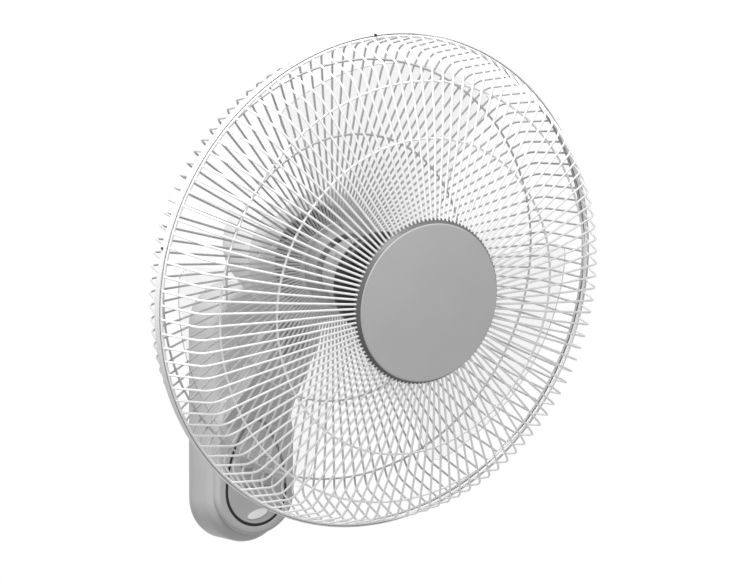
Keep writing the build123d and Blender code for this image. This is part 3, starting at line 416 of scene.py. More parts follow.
class Palette:
    """Materials by slot, each made when it is first asked for."""

    def __init__(self, finishes: Sequence[Finish]) -> None:
        """Keep the finishes by their slot."""
        self.finishes = {finish.slot: finish for finish in finishes}
        self.made: dict[str, bpy.types.Material] = {}

    def paint(self, obj: bpy.types.Object, *finishes: str) -> None:
        """Give an object its finishes, the first one on every face.

        Args:
            obj: The object.
            *finishes: Their names, in the order of its material slots.
        """
        obj.data.materials.clear()
        for name in finishes:
            if name not in self.made:
                self.made[name] = self.finishes[name].make()
            obj.data.materials.append(self.made[name])
        for polygon in obj.data.polygons:
            polygon.material_index = 0

    def dress(self, obj: bpy.types.Object, slot: str, body: str, *nodes: str,
              finishes: Sequence[str] = ()) -> None:
        """Paint a new piece, let it ride on a body and stand for CAD nodes.

        Args:
            obj: The piece, in place.
            slot: Slot of the record that its finish comes from.
            body: Body that it rides on.
            *nodes: CAD nodes that it stands for.
            finishes: Finishes to use in place of the slot's own.
        """
        self.paint(obj, *(finishes or (slot,)))
        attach(obj, body)
        if nodes:
            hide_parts(*nodes)
        log.info("%s rides on %s in %s", obj.name, body, slot)


PALETTE = Palette(FINISHES)


# ---- Mesh helpers ----
Point2 = tuple[float, float]
Face = tuple[int, ...]
SOFT_CREASE = 60.0           # edges up to this angle, in degrees, are shaded smooth
WIRE_CREASE = 80.0           # the same on round wires
HOUSING_CREASE = 40.0        # and on the housings
FINE_STEPS = 240             # facets round the largest turned pieces


def mesh_piece(name: str, points: Sequence[Vector], faces: Sequence[Face],
               crease: float = 35.0) -> bpy.types.Object:
    """New mesh object, smooth but for its sharp edges.

    Args:
        name: Name of the piece.
        points: Its points.
        faces: Its faces, as places in the list of points.
        crease: Angle over which an edge stays sharp, in degrees.

    Returns:
        The new object.
    """
    mesh = bpy.data.meshes.new(name)
    mesh.from_pydata([tuple(point) for point in points], [], faces)
    mesh.validate()
    for polygon in mesh.polygons:
        polygon.use_smooth = True
    mesh.set_sharp_from_angle(angle=radians(crease))
    obj = bpy.data.objects.new(name, mesh)
    bpy.context.scene.collection.objects.link(obj)
    return obj


def arc(centre: Point2, radius: float, start: float, end: float, steps: int) -> list[Point2]:
    """Points of an arc between two angles in degrees, both ends included."""
    angles = (radians(start + (end - start) * step / steps) for step in range(steps + 1))
    return [(centre[0] + radius * cos(angle), centre[1] + radius * sin(angle)) for angle in angles]


def rounded(route: Sequence[Point2], radii: Sequence[float], steps: int = 6) -> list[Point2]:
    """Route with a tangent arc at each inner corner.

    Args:
        route: Corner points, the two ends included.
        radii: Radius at each inner corner.
        steps: Pieces of each arc.

    Returns:
        The points of the smooth route.
    """
    points = [route[0]]
    for before, corner, after, radius in zip(route, route[1:], route[2:], radii):
        back = Vector(before) - Vector(corner)
        onward = Vector(after) - Vector(corner)
        half = back.angle(onward) / 2
        axis = (back.normalized() + onward.normalized()).normalized()
        centre = Vector(corner) + axis * (radius / sin(half))
        start = Vector(corner) + back.normalized() * (radius / tan(half)) - centre
        end = Vector(corner) + onward.normalized() * (radius / tan(half)) - centre
        turn = start.angle_signed(end)
        for step in range(steps + 1):
            angle = -turn * step / steps
            points.append((centre.x + start.x * cos(angle) - start.y * sin(angle),
                           centre.y + start.x * sin(angle) + start.y * cos(angle)))
    points.append(route[-1])
    return points


@dataclass
class Soup:
    """Points and faces gathered for one mesh."""

    points: list[Vector] = field(default_factory=list)
    faces: list[Face] = field(default_factory=list)

    def strip(self, rings: Sequence[Sequence[Vector]], closed: bool, capped: bool) -> None:
        """Skin a row of rings.

        Args:
            rings: Rings with the same number of points each.
            closed: Whether the last ring is joined to the first one.
            capped: Whether the first and the last ring are filled.
        """
        start, count = len(self.points), len(rings[0])
        for ring in rings:
            self.points.extend(ring)
        rows = len(rings) if closed else len(rings) - 1
        for row in range(rows):
            near = start + row * count
            far = start + (row + 1) % len(rings) * count
            for side in range(count):
                after = (side + 1) % count
                self.faces.append((near + side, near + after, far + after, far + side))
        if capped:
            last = start + (len(rings) - 1) * count
            self.faces.append(tuple(range(start + count - 1, start - 1, -1)))
            self.faces.append(tuple(range(last, last + count)))


def lathe(name: str, where: LocalFrame, profile: Sequence[Point2], steps: int = 144,
          closed: bool = False, keep: Optional[Callable[[float, float, float], bool]] = None,
          crease: float = 35.0) -> bpy.types.Object:
    """Turn a surface round a local frame's axis.

    Args:
        name: Name of the piece.
        where: Frame whose axis it is turned round.
        profile: (radius, along) points.
        steps: Facets round the axis.
        closed: Whether the profile returns to its first point.
        keep: Takes a facet's radius, angle and place along, and says whether it is there.
        crease: Angle over which an edge stays sharp, in degrees.

    Returns:
        The new object.
    """
    count = len(profile)
    points = [where.polar(radius, 2 * pi * step / steps, along)
              for step in range(steps) for radius, along in profile]
    faces = []
    for step in range(steps):
        after = (step + 1) % steps
        for index in range(count if closed else count - 1):
            other = (index + 1) % count
            middle = [(a + b) / 2 for a, b in zip(profile[index], profile[other])]
            if keep and not keep(middle[0], 2 * pi * (step + 0.5) / steps, middle[1]):
                continue
            faces.append((step * count + index, step * count + other,
                          after * count + other, after * count + index))
    obj = mesh_piece(name, points, faces, crease)
    weld(obj)
    return obj


def weld(obj: bpy.types.Object) -> None:
    """Merge the points of a turned piece that meet on its axis."""
    modifier = obj.modifiers.new("Weld", "WELD")
    modifier.merge_threshold = 1e-6


def thicken(obj: bpy.types.Object, wall: float, offset: float = -1.0) -> None:
    """Give a surface a wall in millimetres, behind its faces at offset -1 and before them at 1."""
    modifier = obj.modifiers.new("Wall", "SOLIDIFY")
    modifier.thickness, modifier.offset = wall * MM, offset


# ---- Guard ----
@dataclass
class Guard:
    """One half of the wire guard: radial wires, two hoops, a rim and an eye plate.

    Args:
        plate: Inner and outer radius, back and front of the eye plate.
    """

    name: str                    # of the CAD node it stands for
    route: Sequence[Point2]      # (radius, forward) corners of a wire, from the eye to the rim
    bends: Sequence[float]       # radius of each bend of the route
    hoops: Sequence[tuple[int, float]]      # stretch of the route and radius of each hoop
    plate: tuple[float, float, float, float]
    out: int                     # +1 for the front half and -1 for the rear half
    finish: str
    bevel: float = 0.4           # of the eye plate's edges

    def wire(self, soup: Soup, path: Sequence[Point2], angle: float, sides: int = 8) -> None:
        """Add one round wire that follows a path in its own meridian plane.

        Args:
            soup: Mesh to add it to.
            path: (radius, forward) points of its centre line.
            angle: Angle of its plane, in radians.
            sides: Facets round the wire.
        """
        radial, along = HEAD.radial(angle), HEAD.along
        tangential = radial.cross(along)
        rings = []
        for index, (radius, forward) in enumerate(path):
            before, after = path[max(index - 1, 0)], path[min(index + 1, len(path) - 1)]
            run = Vector((after[0] - before[0], after[1] - before[1])).normalized()
            off = radial * -run.y + along * run.x
            centre = HEAD.polar(radius, angle, forward)
            rings.append([centre + (off * cos(2 * pi * side / sides)
                                    + tangential * sin(2 * pi * side / sides)) * WIRE_R * MM
                          for side in range(sides)])
        soup.strip(rings, closed=False, capped=True)

    def ring(self, soup: Soup, radius: float, forward: float, wire: float, steps: int = 224,
             sides: int = 10) -> None:
        """Add one round hoop.

        Args:
            soup: Mesh to add it to.
            radius: Radius of its centre line.
            forward: Place of its centre line along the axis.
            wire: Radius of its wire.
            steps: Facets round the axis.
            sides: Facets round the wire.
        """
        rings = []
        for step in range(steps):
            angle = 2 * pi * step / steps
            rings.append([HEAD.polar(radius + wire * cos(2 * pi * side / sides), angle,
                                     forward + wire * sin(2 * pi * side / sides))
                          for side in range(sides)])
        soup.strip(rings, closed=True, capped=False)

    def hoop_place(self, stretch: int, radius: float) -> Point2:
        """Centre of a hoop's section, just behind the wires that it carries.

        Args:
            stretch: Which stretch of the route carries it.
            radius: Radius of the route where it sits.

        Returns:
            Its radius and its place along the axis.
        """
        start, end = self.route[stretch], self.route[stretch + 1]
        run = Vector((end[0] - start[0], end[1] - start[1])).normalized()
        height = start[1] + (radius - start[0]) / (end[0] - start[0]) * (end[1] - start[1])
        gap = (2 * WIRE_R - WELD_SINK) * self.out
        return radius + run.y * gap, height - run.x * gap

    def eye_plate(self) -> bpy.types.Object:
        """Make the flat ring in the eye, with bevelled edges.

        Returns:
            The plate.
        """
        inner, outer, back, front = self.plate
        bevel = self.bevel
        return lathe(f"{self.name}_plate", HEAD, (
            (inner, back + bevel), (inner + bevel, back), (outer - bevel, back),
            (outer, back + bevel), (outer, front - bevel), (outer - bevel, front),
            (inner + bevel, front), (inner, front - bevel)), closed=True)

    def build(self) -> None:
        """Make the wires, the hoops with the rim, and the eye plate."""
        path = rounded(self.route, self.bends)
        wires = Soup()
        for index in range(WIRE_COUNT):
            self.wire(wires, path, radians(FIRST_WIRE + 360 * index / WIRE_COUNT))
        rings = Soup()
        for stretch, radius in self.hoops:
            self.ring(rings, *self.hoop_place(stretch, radius), WIRE_R)
        self.ring(rings, RIM_R, self.out * RIM_HEIGHT, RIM_WIRE_R)
        plate = self.eye_plate()
        for piece in (mesh_piece(f"{self.name}_wires", wires.points, wires.faces, WIRE_CREASE),
                      mesh_piece(f"{self.name}_hoops", rings.points, rings.faces, WIRE_CREASE),
                      plate):
            PALETTE.dress(piece, "wire_grey", "head", self.name, finishes=(self.finish,))


def guard_halves() -> tuple[Guard, Guard]:
    """Size both halves of the guard.

    Returns:
        The front and the rear half.
    """
    front = Guard("front_guard", route=((62, 72.5), (140, 58), (202, 41.5), (RIM_R, 3.4)),
                  bends=(260, 14), hoops=((0, 139), (1, 186)), plate=(20, 64, 69.6, 71.1),
                  out=1, finish="wire_grey")
    # The rear half takes a darker copy of the wire paint: painted shade.
    rear = Guard("rear_guard", route=((37, -75.5), (60, -74.9), (123.5, -63.4), (205.5, -46.3),
                                      (RIM_R, -3.4)),
                 bends=(60, 300, 13), hoops=((1, 122.5), (2, 191.5)),
                 plate=(22, 41, -74.6, -73.1), out=-1, finish="rear_wire_shaded")
    return front, rear


@dataclass
class Band:
    """Thin strip with rolled edges that closes the guard, the inside of its channel and its clips; that inside is
    painted darker, as painted shade.

    Args:
        tail: Profile of the light clip, from its middle on the band.
        knob: Profile of the dark clip and of the light clip's tip.
    """

    back: float = -5.0           # place of its rear edge along the axis
    front: float = 3.0           # place of its front edge
    roll: float = 0.55           # radius of the rolled edges
    sink: float = 0.3            # how far the strip sinks between its edges
    shore: float = 1.8           # width from an edge to the sunk part
    inside_shore: float = 1.4    # the same on the inside
    tail_angle: float = 99.4     # angle of the light clip, in degrees
    tail_stand: float = 1.1      # how far its middle stands off the band's inside
    tip_place: float = 2.6       # place of its dark tip along the axis
    tail: Sequence[Point2] = ((0, -3.4), (0.7, -3.4), (0.9, -3.1), (0.9, 1.6), (0, 1.6))
    knob_angle: float = 171.4    # angle of the dark clip
    knob_stand: float = 0.9      # how far its middle and the tip's stand off the band's inside
    knob_place: float = -3.6     # place of the dark clip along the axis
    knob: Sequence[Point2] = ((0, -1.3), (1.0, -1.3), (1.2, -1.0), (1.2, 0.9), (0.9, 1.3), (0, 1.3))

    def strip(self) -> None:
        """Make the strip, and the inside face of its channel painted darker as painted shade."""
        outer, sunk = BAND_OUTER_R - self.roll, BAND_OUTER_R - self.sink
        band = lathe("guard_band_strip", HEAD, (
            *arc((outer, self.front - self.roll), self.roll, 180, 0, 6),
            (sunk, self.front - self.shore), (sunk, self.back + self.shore),
            *arc((outer, self.back + self.roll), self.roll, 0, -180, 6)), FINE_STEPS)
        PALETTE.dress(band, "band_grey", "head", "guard_band")
        inner, bed = BAND_OUTER_R - 2 * self.roll, BAND_R + self.sink
        # Inside face of the channel, in the band's paint made darker: painted shade.
        shaded_inside = lathe("guard_band_inside_shaded", HEAD, (
            (inner, self.back + self.roll), (bed, self.back + self.inside_shore),
            (bed, self.front - self.inside_shore), (inner, self.front - self.roll)), FINE_STEPS)
        PALETTE.dress(shaded_inside, "band_grey", "head", "guard_band", finishes=("band_inside_shaded",))

    def peg(self, name: str, angle: float, middle: Point2, profile: Sequence[Point2],
            slot: str) -> None:
        """Make a small turned peg on the band, with its axis along the head's axis.

        Args:
            name: Name of the piece.
            angle: Its angle round the band, in degrees.
            middle: Radius and place along the axis of its middle.
            profile: (radius, along) points, from its middle.
            slot: Slot of its finish.
        """
        origin = HEAD.polar(middle[0], radians(angle), middle[1])
        piece = lathe(name, LocalFrame(origin, HEAD.across, HEAD.up, HEAD.along), profile, steps=20)
        PALETTE.dress(piece, slot, "head", "band_clips")

    def build(self) -> None:
        """Make the strip, the light clip with its dark tip, and the dark clip."""
        self.strip()
        self.peg("clamp_tail", self.tail_angle, (BAND_R + self.tail_stand, 0), self.tail,
                 "band_grey")
        for name, angle, place in (("clamp_tip", self.tail_angle, self.tip_place),
                                   ("clamp_knob", self.knob_angle, self.knob_place)):
            self.peg(name, angle, (BAND_R + self.knob_stand, place), self.knob, "dark_plastic")


# ---- Cap and blades ----
@dataclass
class Cap:
    """Large front cap: a shallow dome, a rounded edge and a side wall that hides the wire ends; edge and wall are
    painted darker, as painted shade.

    Args:
        joins: Angles on the rounded edge where the dome ends, the face ends, the rim ends and the
            side wall turns straight, in degrees.
        hem: (inwards, forwards) points of the rounded back edge, from the flare and the back.
        inside: Profile of the cap's inside.
    """

    edge: float = 75.8           # place of the dome's edge along the axis
    crown: float = 3.3           # height of the dome over its edge
    roll: float = 2.0            # radius of the rounded edge
    joins: tuple[float, float, float, float] = (86, 74, 40, 0)
    shelf: Point2 = (0.9, 3.2)   # how far the wall's break is outside the cap and behind its edge
    back: float = 69.2           # place of the side wall's back
    flare: float = 72.6          # radius of the side wall at its back
    hem: Sequence[Point2] = ((0, 0.8), (0.4, 0.0), (1.4, 0.3))
    inside: Sequence[Point2] = ((CAP_R - 1.8, 73.6), (62, 74.4), (54, 74.4), (54, 71.4), (20, 71.4))
    rings: int = 24              # facets from the middle of the dome to its edge

    def dome(self, lip: float) -> list[Point2]:
        """Profile of the face.

        Args:
            lip: Radius where the face runs into the rounded edge.

        Returns:
            Its points, from the middle to the lip.
        """
        sphere = (CAP_R ** 2 + self.crown ** 2) / (2 * self.crown)
        radii = (lip * ring / self.rings for ring in range(self.rings + 1))
        return [(radius, self.edge + sqrt(sphere ** 2 - radius ** 2) - sphere + self.crown)
                for radius in radii]

    def build(self) -> None:
        """Make the face, the rim round it and the side wall."""
        face = self.dome(CAP_R - self.roll)
        corner = (CAP_R - self.roll, face[-1][1] - self.roll)
        dome_end, face_end, rim_end, side = self.joins
        wall = (*arc(corner, self.roll, rim_end, side, 4),
                (CAP_R + self.shelf[0], self.edge - self.shelf[1]),
                *((self.flare - inwards, self.back + forwards) for inwards, forwards in self.hem),
                *self.inside)
        disc = lathe("cap_face", HEAD, [*face, *arc(corner, self.roll, dome_end, face_end, 2)],
                     crease=SOFT_CREASE)
        PALETTE.dress(disc, "cap_metallic", "head", "front_cap")
        # The rounded edge takes a darker copy of the cap finish: painted shade.
        rim = lathe("cap_rim_shaded", HEAD, arc(corner, self.roll, face_end, rim_end, 6),
                    crease=SOFT_CREASE)
        PALETTE.dress(rim, "cap_metallic", "head", "front_cap", finishes=("cap_rim_shaded",))
        # The side wall is painted dark: painted shade under the cap's edge.
        PALETTE.dress(lathe("cap_side_shaded", HEAD, wall), "dark_plastic", "head", "front_cap",
                      finishes=("cap_side_shaded",))


@dataclass
class Blades:
    """Three clear twisted blades on a hub, and the spinner over their nut.

    Args:
        root_slope: How fast the blade falls back towards its leading edge there, per degree.
        spinner: Profile of the spinner.
    """

    lead_root: float = 20.0      # angle of the leading edge at the hub, in degrees
    lead_tip: float = 56.0       # the same at the tip
    trail: float = 131.0         # angle of the trailing edge
    root_r: float = 28.5         # radius where the blades start
    lead_reach: float = 150.0    # radius where the leading edge turns radial
    corner: float = 12.0         # radius of the tip corners
    root_face: float = -14.0     # place of the trailing edge along the axis at the hub
    root_slope: float = 0.27
    tip_face: float = 4.0        # the same place at the tip
    tip_slope: float = 22 / 75   # the same slope at the tip
    wall: float = 2.0
    columns: int = 48            # facets from edge to edge
    rows: int = 40               # facets from the hub to the tip
    bore: float = 4.1            # radius, of the hub
    boss: float = 9.0            # radius of the boss round the bore
    boss_back: float = -50.0     # place of its back along the axis
    hub_face: float = -10.0      # place of the hub's face
    hub_back: float = -54.0
    hub_roll: float = 4.0        # radius of the rounding round its face
    hub_wall: float = 3.0
    spinner: Sequence[Point2] = ((0, 2.2), (30, 1.8), (39, 0.8), (43, -1.2), (44.8, -3.8), (45, -6),
                                 (45, -9.6), (43.6, -9.6), (43.4, -5), (30, -2), (0, -2))

    def span(self, radius: float) -> tuple[float, float]:
        """Extent of a blade at a radius, with the tip corners rounded.

        Args:
            radius: The radius.

        Returns:
            Angles of the leading and the trailing edge, in degrees.
        """
        share = min(1.0, (radius - self.root_r) / (self.lead_reach - self.root_r))
        lead = self.lead_root + (self.lead_tip - self.lead_root) * share * share * (3 - 2 * share)
        over = max(0.0, radius - (TIP_R - self.corner))
        inset = (self.corner - sqrt(max(0.0, self.corner ** 2 - over ** 2))) / radius * 180 / pi
        return lead + inset, self.trail - inset

    def height(self, radius: float, angle: float) -> float:
        """Place of a blade's front face along the axis.

        Args:
            radius: Radius of the point.
            angle: Angle of the point on the first blade, in degrees.

        Returns:
            The place.
        """
        root = self.root_face - self.root_slope * (self.trail - angle)
        tip = self.tip_face - self.tip_slope * (self.trail - angle)
        share = (radius - self.root_r) / (TIP_R - self.root_r)
        return root + (tip - root) * share

    def skins(self) -> Soup:
        """Front faces of the three blades.

        Returns:
            The open meshes, from the hub to the tip.
        """
        soup = Soup()
        width = self.columns + 1
        for blade in range(3):
            start = len(soup.points)
            for row in range(self.rows + 1):
                radius = self.root_r + (TIP_R - self.root_r) * sin(pi / 2 * row / self.rows)
                lead, trail = self.span(radius)
                for column in range(width):
                    angle = lead + (trail - lead) * column / self.columns
                    soup.points.append(HEAD.polar(radius, radians(angle + 120 * blade),
                                                  self.height(radius, angle)))
            cells = (start + row * width + column
                     for row in range(self.rows) for column in range(self.columns))
            soup.faces += [(at, at + 1, at + width + 1, at + width) for at in cells]
        return soup

    def build(self) -> None:
        """Make the blades, the hub and the spinner."""
        skins = self.skins()
        blades = mesh_piece("clear_blades", skins.points, skins.faces, SOFT_CREASE)
        thicken(blades, self.wall)
        # The wall's rim faces take blade_edge: painted grey for light bent in the clear edges.
        blades.modifiers["Wall"].material_offset_rim = 1
        PALETTE.dress(blades, "clear_blade", "rotor", "fan_blades",
                      finishes=("clear_blade", "blade_edge"))
        shoulder, inside = HUB_R - self.hub_roll, HUB_R - self.hub_wall
        under = self.hub_face - self.hub_roll
        hub = lathe("blade_hub", HEAD, (
            (self.bore, self.hub_face), (shoulder, self.hub_face),
            *arc((shoulder, under), self.hub_roll, 90, 0, 6), (HUB_R, self.hub_back),
            (inside, self.hub_back), (inside, under), (self.boss, under),
            (self.boss, self.boss_back), (self.bore, self.boss_back)), closed=True)
        PALETTE.dress(hub, "clear_blade", "rotor", "fan_blades", finishes=("hub_clear",))
        spinner = lathe("spinner", HEAD, self.spinner, crease=50)
        PALETTE.dress(spinner, "dark_plastic", "rotor", "blade_nut", finishes=("spinner_black",))


# ---- Motor ----
@dataclass
class Motor:
    """Bullet-shaped rear shell, and the front cover with its vented collar and its nose; the cover is painted a
    little darker and the collar and nose dark, as painted shade.

    Args:
        swing_slot: Half width, back and front of the rear shell's slot for the swing bracket.
        crank_hole: Distance across, place along the axis and radius of the hole for the crank.
        vent_radii: Radii where the vents in the collar start and end.
        vent_share: Share of a vent's pitch where it starts and ends.
        eye: Profile of the collar's inner edge, which meets the nose.
        nose: Profile of the nose that carries the front bearing.
    """

    wall: float = 2.4
    steps: int = 192             # facets round the shells
    parting: float = -128.0      # place where the two covers meet, along the axis
    swing_slot: tuple[float, float, float] = (14, -173, -137.2)
    crank_hole: tuple[float, float, float] = (20, -182, 5.2)
    vents: int = 24
    vent_radii: tuple[float, float] = (33, 43)
    vent_share: tuple[float, float] = (0.28, 0.72)
    collar: int = 14             # steps of the front cone that make the collar, painted dark as painted shade
    eye: Sequence[Point2] = ((22.2, -75.0), (29.2, -75.0), (30, -75.8))
    nose: Sequence[Point2] = ((6, -96), (6, -58.5), (6.5, -58), (21, -58), (22, -59), (22, -96))

    def beside_slot(self, radius: float, angle: float, forward: float) -> bool:
        """Whether the rear shell is whole at a place.

        Args:
            radius: Radius of the place.
            angle: Its angle, in radians.
            forward: Its place along the axis.

        Returns:
            False in the slot for the swing bracket and in the hole for the crank.
        """
        across, up = radius * cos(angle), radius * sin(angle)
        half_width, back, front = self.swing_slot
        hole_across, hole_place, hole_r = self.crank_hole
        slot = abs(across) < half_width and back < forward < front
        hole = hypot(across - hole_across, forward - hole_place) < hole_r
        return up >= 0 or not (slot or hole)

    def beside_vent(self, radius: float, angle: float, forward: float) -> bool:
        """Whether the collar is whole at a place, as it is outside its vents."""
        (inner, outer), turn = self.vent_radii, angle / (2 * pi) * self.vents % 1
        return not (inner < radius < outer and self.vent_share[0] < turn < self.vent_share[1])

    def rear_profile(self) -> list[Point2]:
        """Profile of the rear shell.

        Returns:
            Its points, from the parting to the middle of its back.
        """
        shoulder = [(SHELL_R - 2.6 * (step / 8) ** 1.6, self.parting - 3 * step)
                    for step in range(1, 9)]
        bullet = [(58.4 - 9.2 * (step / 16) ** 1.35, -152 - 2.75 * step) for step in range(1, 17)]
        seam = [(48.7, -196.3), (48.7, -197.1), (49.0, -197.3)]
        return [(SHELL_R, self.parting), *shoulder, *bullet, *seam,
                *arc((39, -197.5), 9.5, -4, -88, 8), (20, -207), (0, -207)]

    def build(self) -> None:
        """Make the rear shell, and the front cover in three pieces."""
        cone = [(30 + 31 * step / 24, -97 - 18.5 * (step / 24) ** 1.3) for step in range(24)]
        skirt = ((60.6, -116.5), (SHELL_R, -118), (SHELL_R, self.parting + 0.5),
                 (SHELL_R - 0.5, self.parting))
        shell = lathe("motor_shell_rear", HEAD, self.rear_profile(), self.steps,
                      keep=self.beside_slot, crease=HOUSING_CREASE)
        thicken(shell, self.wall, 1.0)
        PALETTE.dress(shell, "shell_plastic", "head", "motor_rear_cover", finishes=("motor_shell",))
        # The front cover takes a darker copy of the shell's plastic: painted shade.
        front = lathe("motor_shell_front", HEAD, [*cone[self.collar:], *skirt], self.steps,
                      crease=HOUSING_CREASE)
        thicken(front, self.wall, 1.0)
        PALETTE.dress(front, "shell_plastic", "head", "motor_front_cover",
                      finishes=("motor_front",))
        collar = lathe("motor_collar", HEAD, [*self.eye, *cone[:self.collar + 1]], FINE_STEPS,
                       keep=self.beside_vent, crease=HOUSING_CREASE)
        thicken(collar, self.wall, 1.0)
        nose = lathe("motor_nose", HEAD, self.nose, crease=HOUSING_CREASE)
        # Collar and nose in dark plastic: painted shade of the gap between the guard's eye and the cover.
        for piece in (collar, nose):
            PALETTE.dress(piece, "dark_plastic", "head", "motor_front_cover")


# ---- Wall base ----
@dataclass
class WallBase:
    """Stadium-shaped base with a large rounding round its face.

    Args:
        foot: (inset, out) points of the lip against the wall.
    """

    half_width: float = 42.0
    half_height: float = 124.0
    droop: float = 1.6           # how much further down the lower end reaches
    depth: float = 46.0
    edge: float = 12.5           # radius
    border: float = 6.0          # width of flat face that is drawn inside the rounding
    foot: Sequence[Point2] = ((1.6, 3.0), (1.6, 0.9), (1.3, 0.6), (0.4, 0.6), (0.0, 1.2))

    def outline(self, inset: float, out: float, steps: int = 40) -> list[Vector]:
        """Ring of points round the base.

        Args:
            inset: How much smaller than the base it is drawn.
            out: Its distance from the wall.
            steps: Facets of each round end.

        Returns:
            The points.
        """
        radius = self.half_width - inset
        reach = self.half_height - self.half_width
        ring = []
        for end, centre in ((1, reach), (-1, -reach - self.droop)):
            ring += [WALL.point(radius * cos(angle) * end, centre + radius * sin(angle) * end, out)
                     for angle in (pi * step / steps for step in range(steps + 1))]
        return ring

    def build(self) -> None:
        """Make the housing's skin, and close its face."""
        flank_end = self.depth - self.edge
        profile = [*self.foot, (0.0, flank_end),
                   *arc((self.edge, flank_end), self.edge, 180, 90, 14)[1:],
                   (self.edge + self.border, self.depth)]
        soup = Soup()
        soup.strip([self.outline(*place) for place in profile], closed=False, capped=False)
        count = len(soup.points) // len(profile)
        soup.faces.append(tuple(range(len(soup.points) - count, len(soup.points))))
        housing = mesh_piece("base_shell", soup.points, soup.faces, HOUSING_CREASE)
        PALETTE.dress(housing, "shell_plastic", "base", "base_housing")


def farthest(inside: Callable[[float], bool], limit: float = 120.0, halvings: int = 30) -> float:
    """Find how far a shape reaches in one direction.

    Args:
        inside: Says whether a distance is still inside the shape.
        limit: A distance that is outside it.
        halvings: How often the span between the two is halved.

    Returns:
        The farthest distance that is inside.
    """
    low, high = 0.0, limit
    for _ in range(halvings):
        reach = (low + high) / 2
        low, high = (reach, high) if inside(reach) else (low, reach)
    return low


@dataclass
class Pod:
    """Wide border round the control panel, faired into the sides of the base and the arm's foot.

    Args:
        lip: (grow, sink) points of the opening's edge, against the opening and the face.
    """

    half_width: float = 41.85    # flush with the base
    belly: float = -79.0         # height where the lower end starts to round
    drop: float = 37.5           # how far that end reaches below the belly
    shoulder: float = -28.0      # height where the sides start to draw in to the arm
    top: float = 18.0
    top_half_width: float = 31.0
    back: float = 30.0           # distance from the wall where it starts, inside the base
    foot: float = 3.6            # how much narrower each side is where it leaves the base
    foot_reach: float = 45.5     # distance from the wall up to which it is that narrow
    face: float = 58.75
    roll: float = 3.6            # radius of its rounded edge
    lip: Sequence[Point2] = ((0.5, 0.0), (0.0, 0.5), (0.0, 3.0))
    panel_half_width: float = 33.5         # of the opening
    panel_belly: float = -75.0   # height of its widest place
    flank_r: float = 105.6       # radius of its long sides
    tip_r: float = 15.0          # radius of its narrow end
    middle: float = -62.0        # height that both outlines are drawn round
    steps: int = 160             # facets round the border

    def in_outline(self, x: float, y: float) -> bool:
        """Whether a place is inside the pod's outline.

        Args:
            x: Its distance from the middle line.
            y: Its height.

        Returns:
            True when it is.
        """
        if y < self.belly:
            return (x / self.half_width) ** 2 + ((y - self.belly) / self.drop) ** 2 < 1
        share = min(1.0, max(0.0, (y - self.shoulder) / (self.top - self.shoulder)))
        width = self.half_width - (self.half_width - self.top_half_width) * share ** 2
        return x < width and y < self.top

    def in_opening(self, x: float, y: float) -> bool:
        """Whether a place is inside the egg-shaped opening.

        Args:
            x: Its distance from the middle line.
            y: Its height.

        Returns:
            True when it is.
        """
        offset = self.flank_r - self.panel_half_width
        tip = sqrt((self.flank_r - self.tip_r) ** 2 - offset ** 2)
        tangent = tip * self.flank_r / (self.flank_r - self.tip_r)
        rise = y - self.panel_belly
        if rise < 0:
            return hypot(x, rise) < self.panel_half_width
        if rise < tangent:
            return hypot(x + offset, rise) < self.flank_r
        return hypot(x, rise - tip) < self.tip_r

    def ring(self, inside: Callable[[float, float], bool], grow: float, out: float) -> list[Vector]:
        """Ring of points round an outline.

        Args:
            inside: Says whether a place is inside the outline.
            grow: How much larger than the outline the ring is drawn.
            out: Its distance from the wall.

        Returns:
            The points.
        """
        points = []
        for step in range(self.steps):
            turn = 2 * pi * step / self.steps
            x, y = cos(turn), sin(turn)
            reach = farthest(lambda far: inside(abs(far * x), self.middle + far * y)) + grow
            points.append(WALL.point(reach * x, self.middle + reach * y, out))
        return points

    def build(self) -> None:
        """Make the flank, its rounded edge and the border."""
        flank_end = self.face - self.roll
        flank = [(self.foot, self.back), (self.foot, self.foot_reach), (0.0, flank_end),
                 *arc((self.roll, flank_end), self.roll, 180, 90, 6)[1:]]
        rings = [self.ring(self.in_outline, -inset, out) for inset, out in flank]
        rings += [self.ring(self.in_opening, grow, self.face - sink) for grow, sink in self.lip]
        soup = Soup()
        soup.strip(rings, closed=False, capped=False)
        border = mesh_piece("pod_border", soup.points, soup.faces, HOUSING_CREASE)
        PALETTE.dress(border, "shell_plastic", "base")


# ---- Nodes that keep their shape ----
@dataclass
class CarriedOver:
    """CAD nodes whose shape stays, in their slots' finishes or in those of OWN_FINISHES."""

    slots: dict[str, str]

    def build(self) -> None:
        """Paint each node that still shows."""
        for name, slot in self.slots.items():
            node = frame["nodes"][name]
            if not node.hide_render:
                finish = OWN_FINISHES.get(name, slot)
                PALETTE.paint(node, finish)
                log.info("%s keeps its shape in %s", name, finish)


def carried_slots() -> dict[str, str]:
    """Slot of each CAD node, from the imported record."""
    return {part["node"]: part["material_slot"] for part in frame["record"]["subparts"]}


# ---- Studio ----
@dataclass(frozen=True)
class Lamp:
    """Soft square lamp, placed round the head by azimuth and elevation in degrees."""

    name: str
    azimuth: float
    elevation: float
    power: float                 # watts
    size: float                  # metres
    reach: float = 2.4

    def build(self) -> None:
        """Make the lamp and point it at the fan."""
        data = bpy.data.lights.new(self.name, "AREA")
        data.energy = self.power
        data.size = self.size
        lamp = bpy.data.objects.new(self.name, data)
        level = cos(radians(self.elevation))
        way = Vector((sin(radians(self.azimuth)) * level, -cos(radians(self.azimuth)) * level,
                      sin(radians(self.elevation))))
        lamp.location = HEAD.origin + way * self.reach
        lamp.rotation_euler = way.to_track_quat("Z", "Y").to_euler()
        bpy.context.scene.collection.objects.link(lamp)


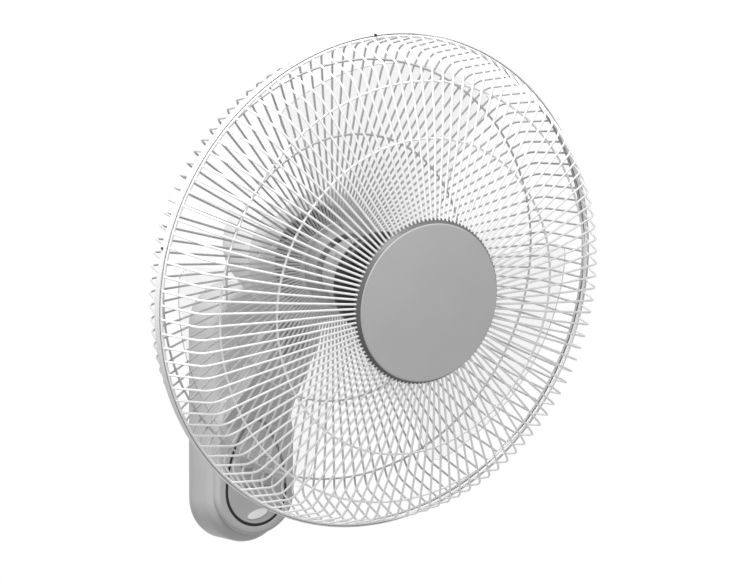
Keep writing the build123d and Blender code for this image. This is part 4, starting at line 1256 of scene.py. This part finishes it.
@dataclass
class Studio:
    """White surround, lamps and the camera."""

    azimuth: float = -32.18      # degrees, of the camera round the head
    elevation: float = 2.0
    distance: float = 2.2        # metres
    right: float = -0.0158       # how far the camera stands off that line, to its right
    rise: float = -0.0071        # and above it
    lens: float = 124.0          # millimetres
    sensor: float = 36.0
    glow: float = 0.5            # light of the surround on the fan
    lamps: Sequence[Lamp] = (Lamp("key", -66, 58, 82, 0.9), Lamp("top", -20, 84, 16, 1.4),
                             Lamp("fill", -30, 6, 9, 1.6))

    def surround(self) -> None:
        """White for the camera and for what mirrors or shows through, and a level grey light."""
        world = bpy.data.worlds.new("surround")
        bpy.context.scene.world = world
        graph = Graph(world)
        path = graph.node("ShaderNodeLightPath")
        seen = graph.signal(path, "Is Camera Ray")
        for kind in ("Is Glossy Ray", "Is Transmission Ray"):
            seen = graph.math("MAXIMUM", seen, graph.signal(path, kind))
        lit, shown = (graph.node("ShaderNodeBackground", None, Color=(1, 1, 1, 1), Strength=level)
                      for level in (self.glow, 1.0))
        mix = graph.node("ShaderNodeMixShader")
        graph.fill(mix, {0: seen, 1: graph.signal(lit), 2: graph.signal(shown)})
        graph.node("ShaderNodeOutputWorld", None, Surface=graph.signal(mix))

    def camera(self) -> None:
        """Place the camera where the photograph was taken from."""
        turn, lift = radians(self.azimuth), radians(self.elevation)
        back = Vector((sin(turn) * cos(lift), -cos(turn) * cos(lift), sin(lift)))
        right = Vector((cos(turn), sin(turn), 0))
        up = back.cross(right)
        data = bpy.data.cameras.new("camera")
        data.sensor_width = self.sensor
        data.lens = self.lens
        camera = bpy.data.objects.new("camera", data)
        eye = HEAD.origin + back * self.distance + right * self.right + up * self.rise
        facing = Matrix((right, up, back)).transposed().to_4x4()
        camera.matrix_world = Matrix.Translation(eye) @ facing
        bpy.context.scene.collection.objects.link(camera)
        bpy.context.scene.camera = camera

    def build(self) -> None:
        """Set up the surround, the lamps and the camera."""
        self.surround()
        for lamp in self.lamps:
            lamp.build()
        self.camera()
        view = bpy.context.scene.view_settings
        view.view_transform = "Standard"


def main() -> None:
    """Build every group of pieces in order, then the studio."""
    logging.basicConfig(level=logging.INFO, format="%(name)s: %(message)s")
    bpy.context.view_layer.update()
    for group in (*guard_halves(), Band(), Cap(), Blades(), Motor(), WallBase(), Pod(),
                  CarriedOver(carried_slots())):
        group.build()
    Studio().build()


if __name__ == "__main__":
    main()
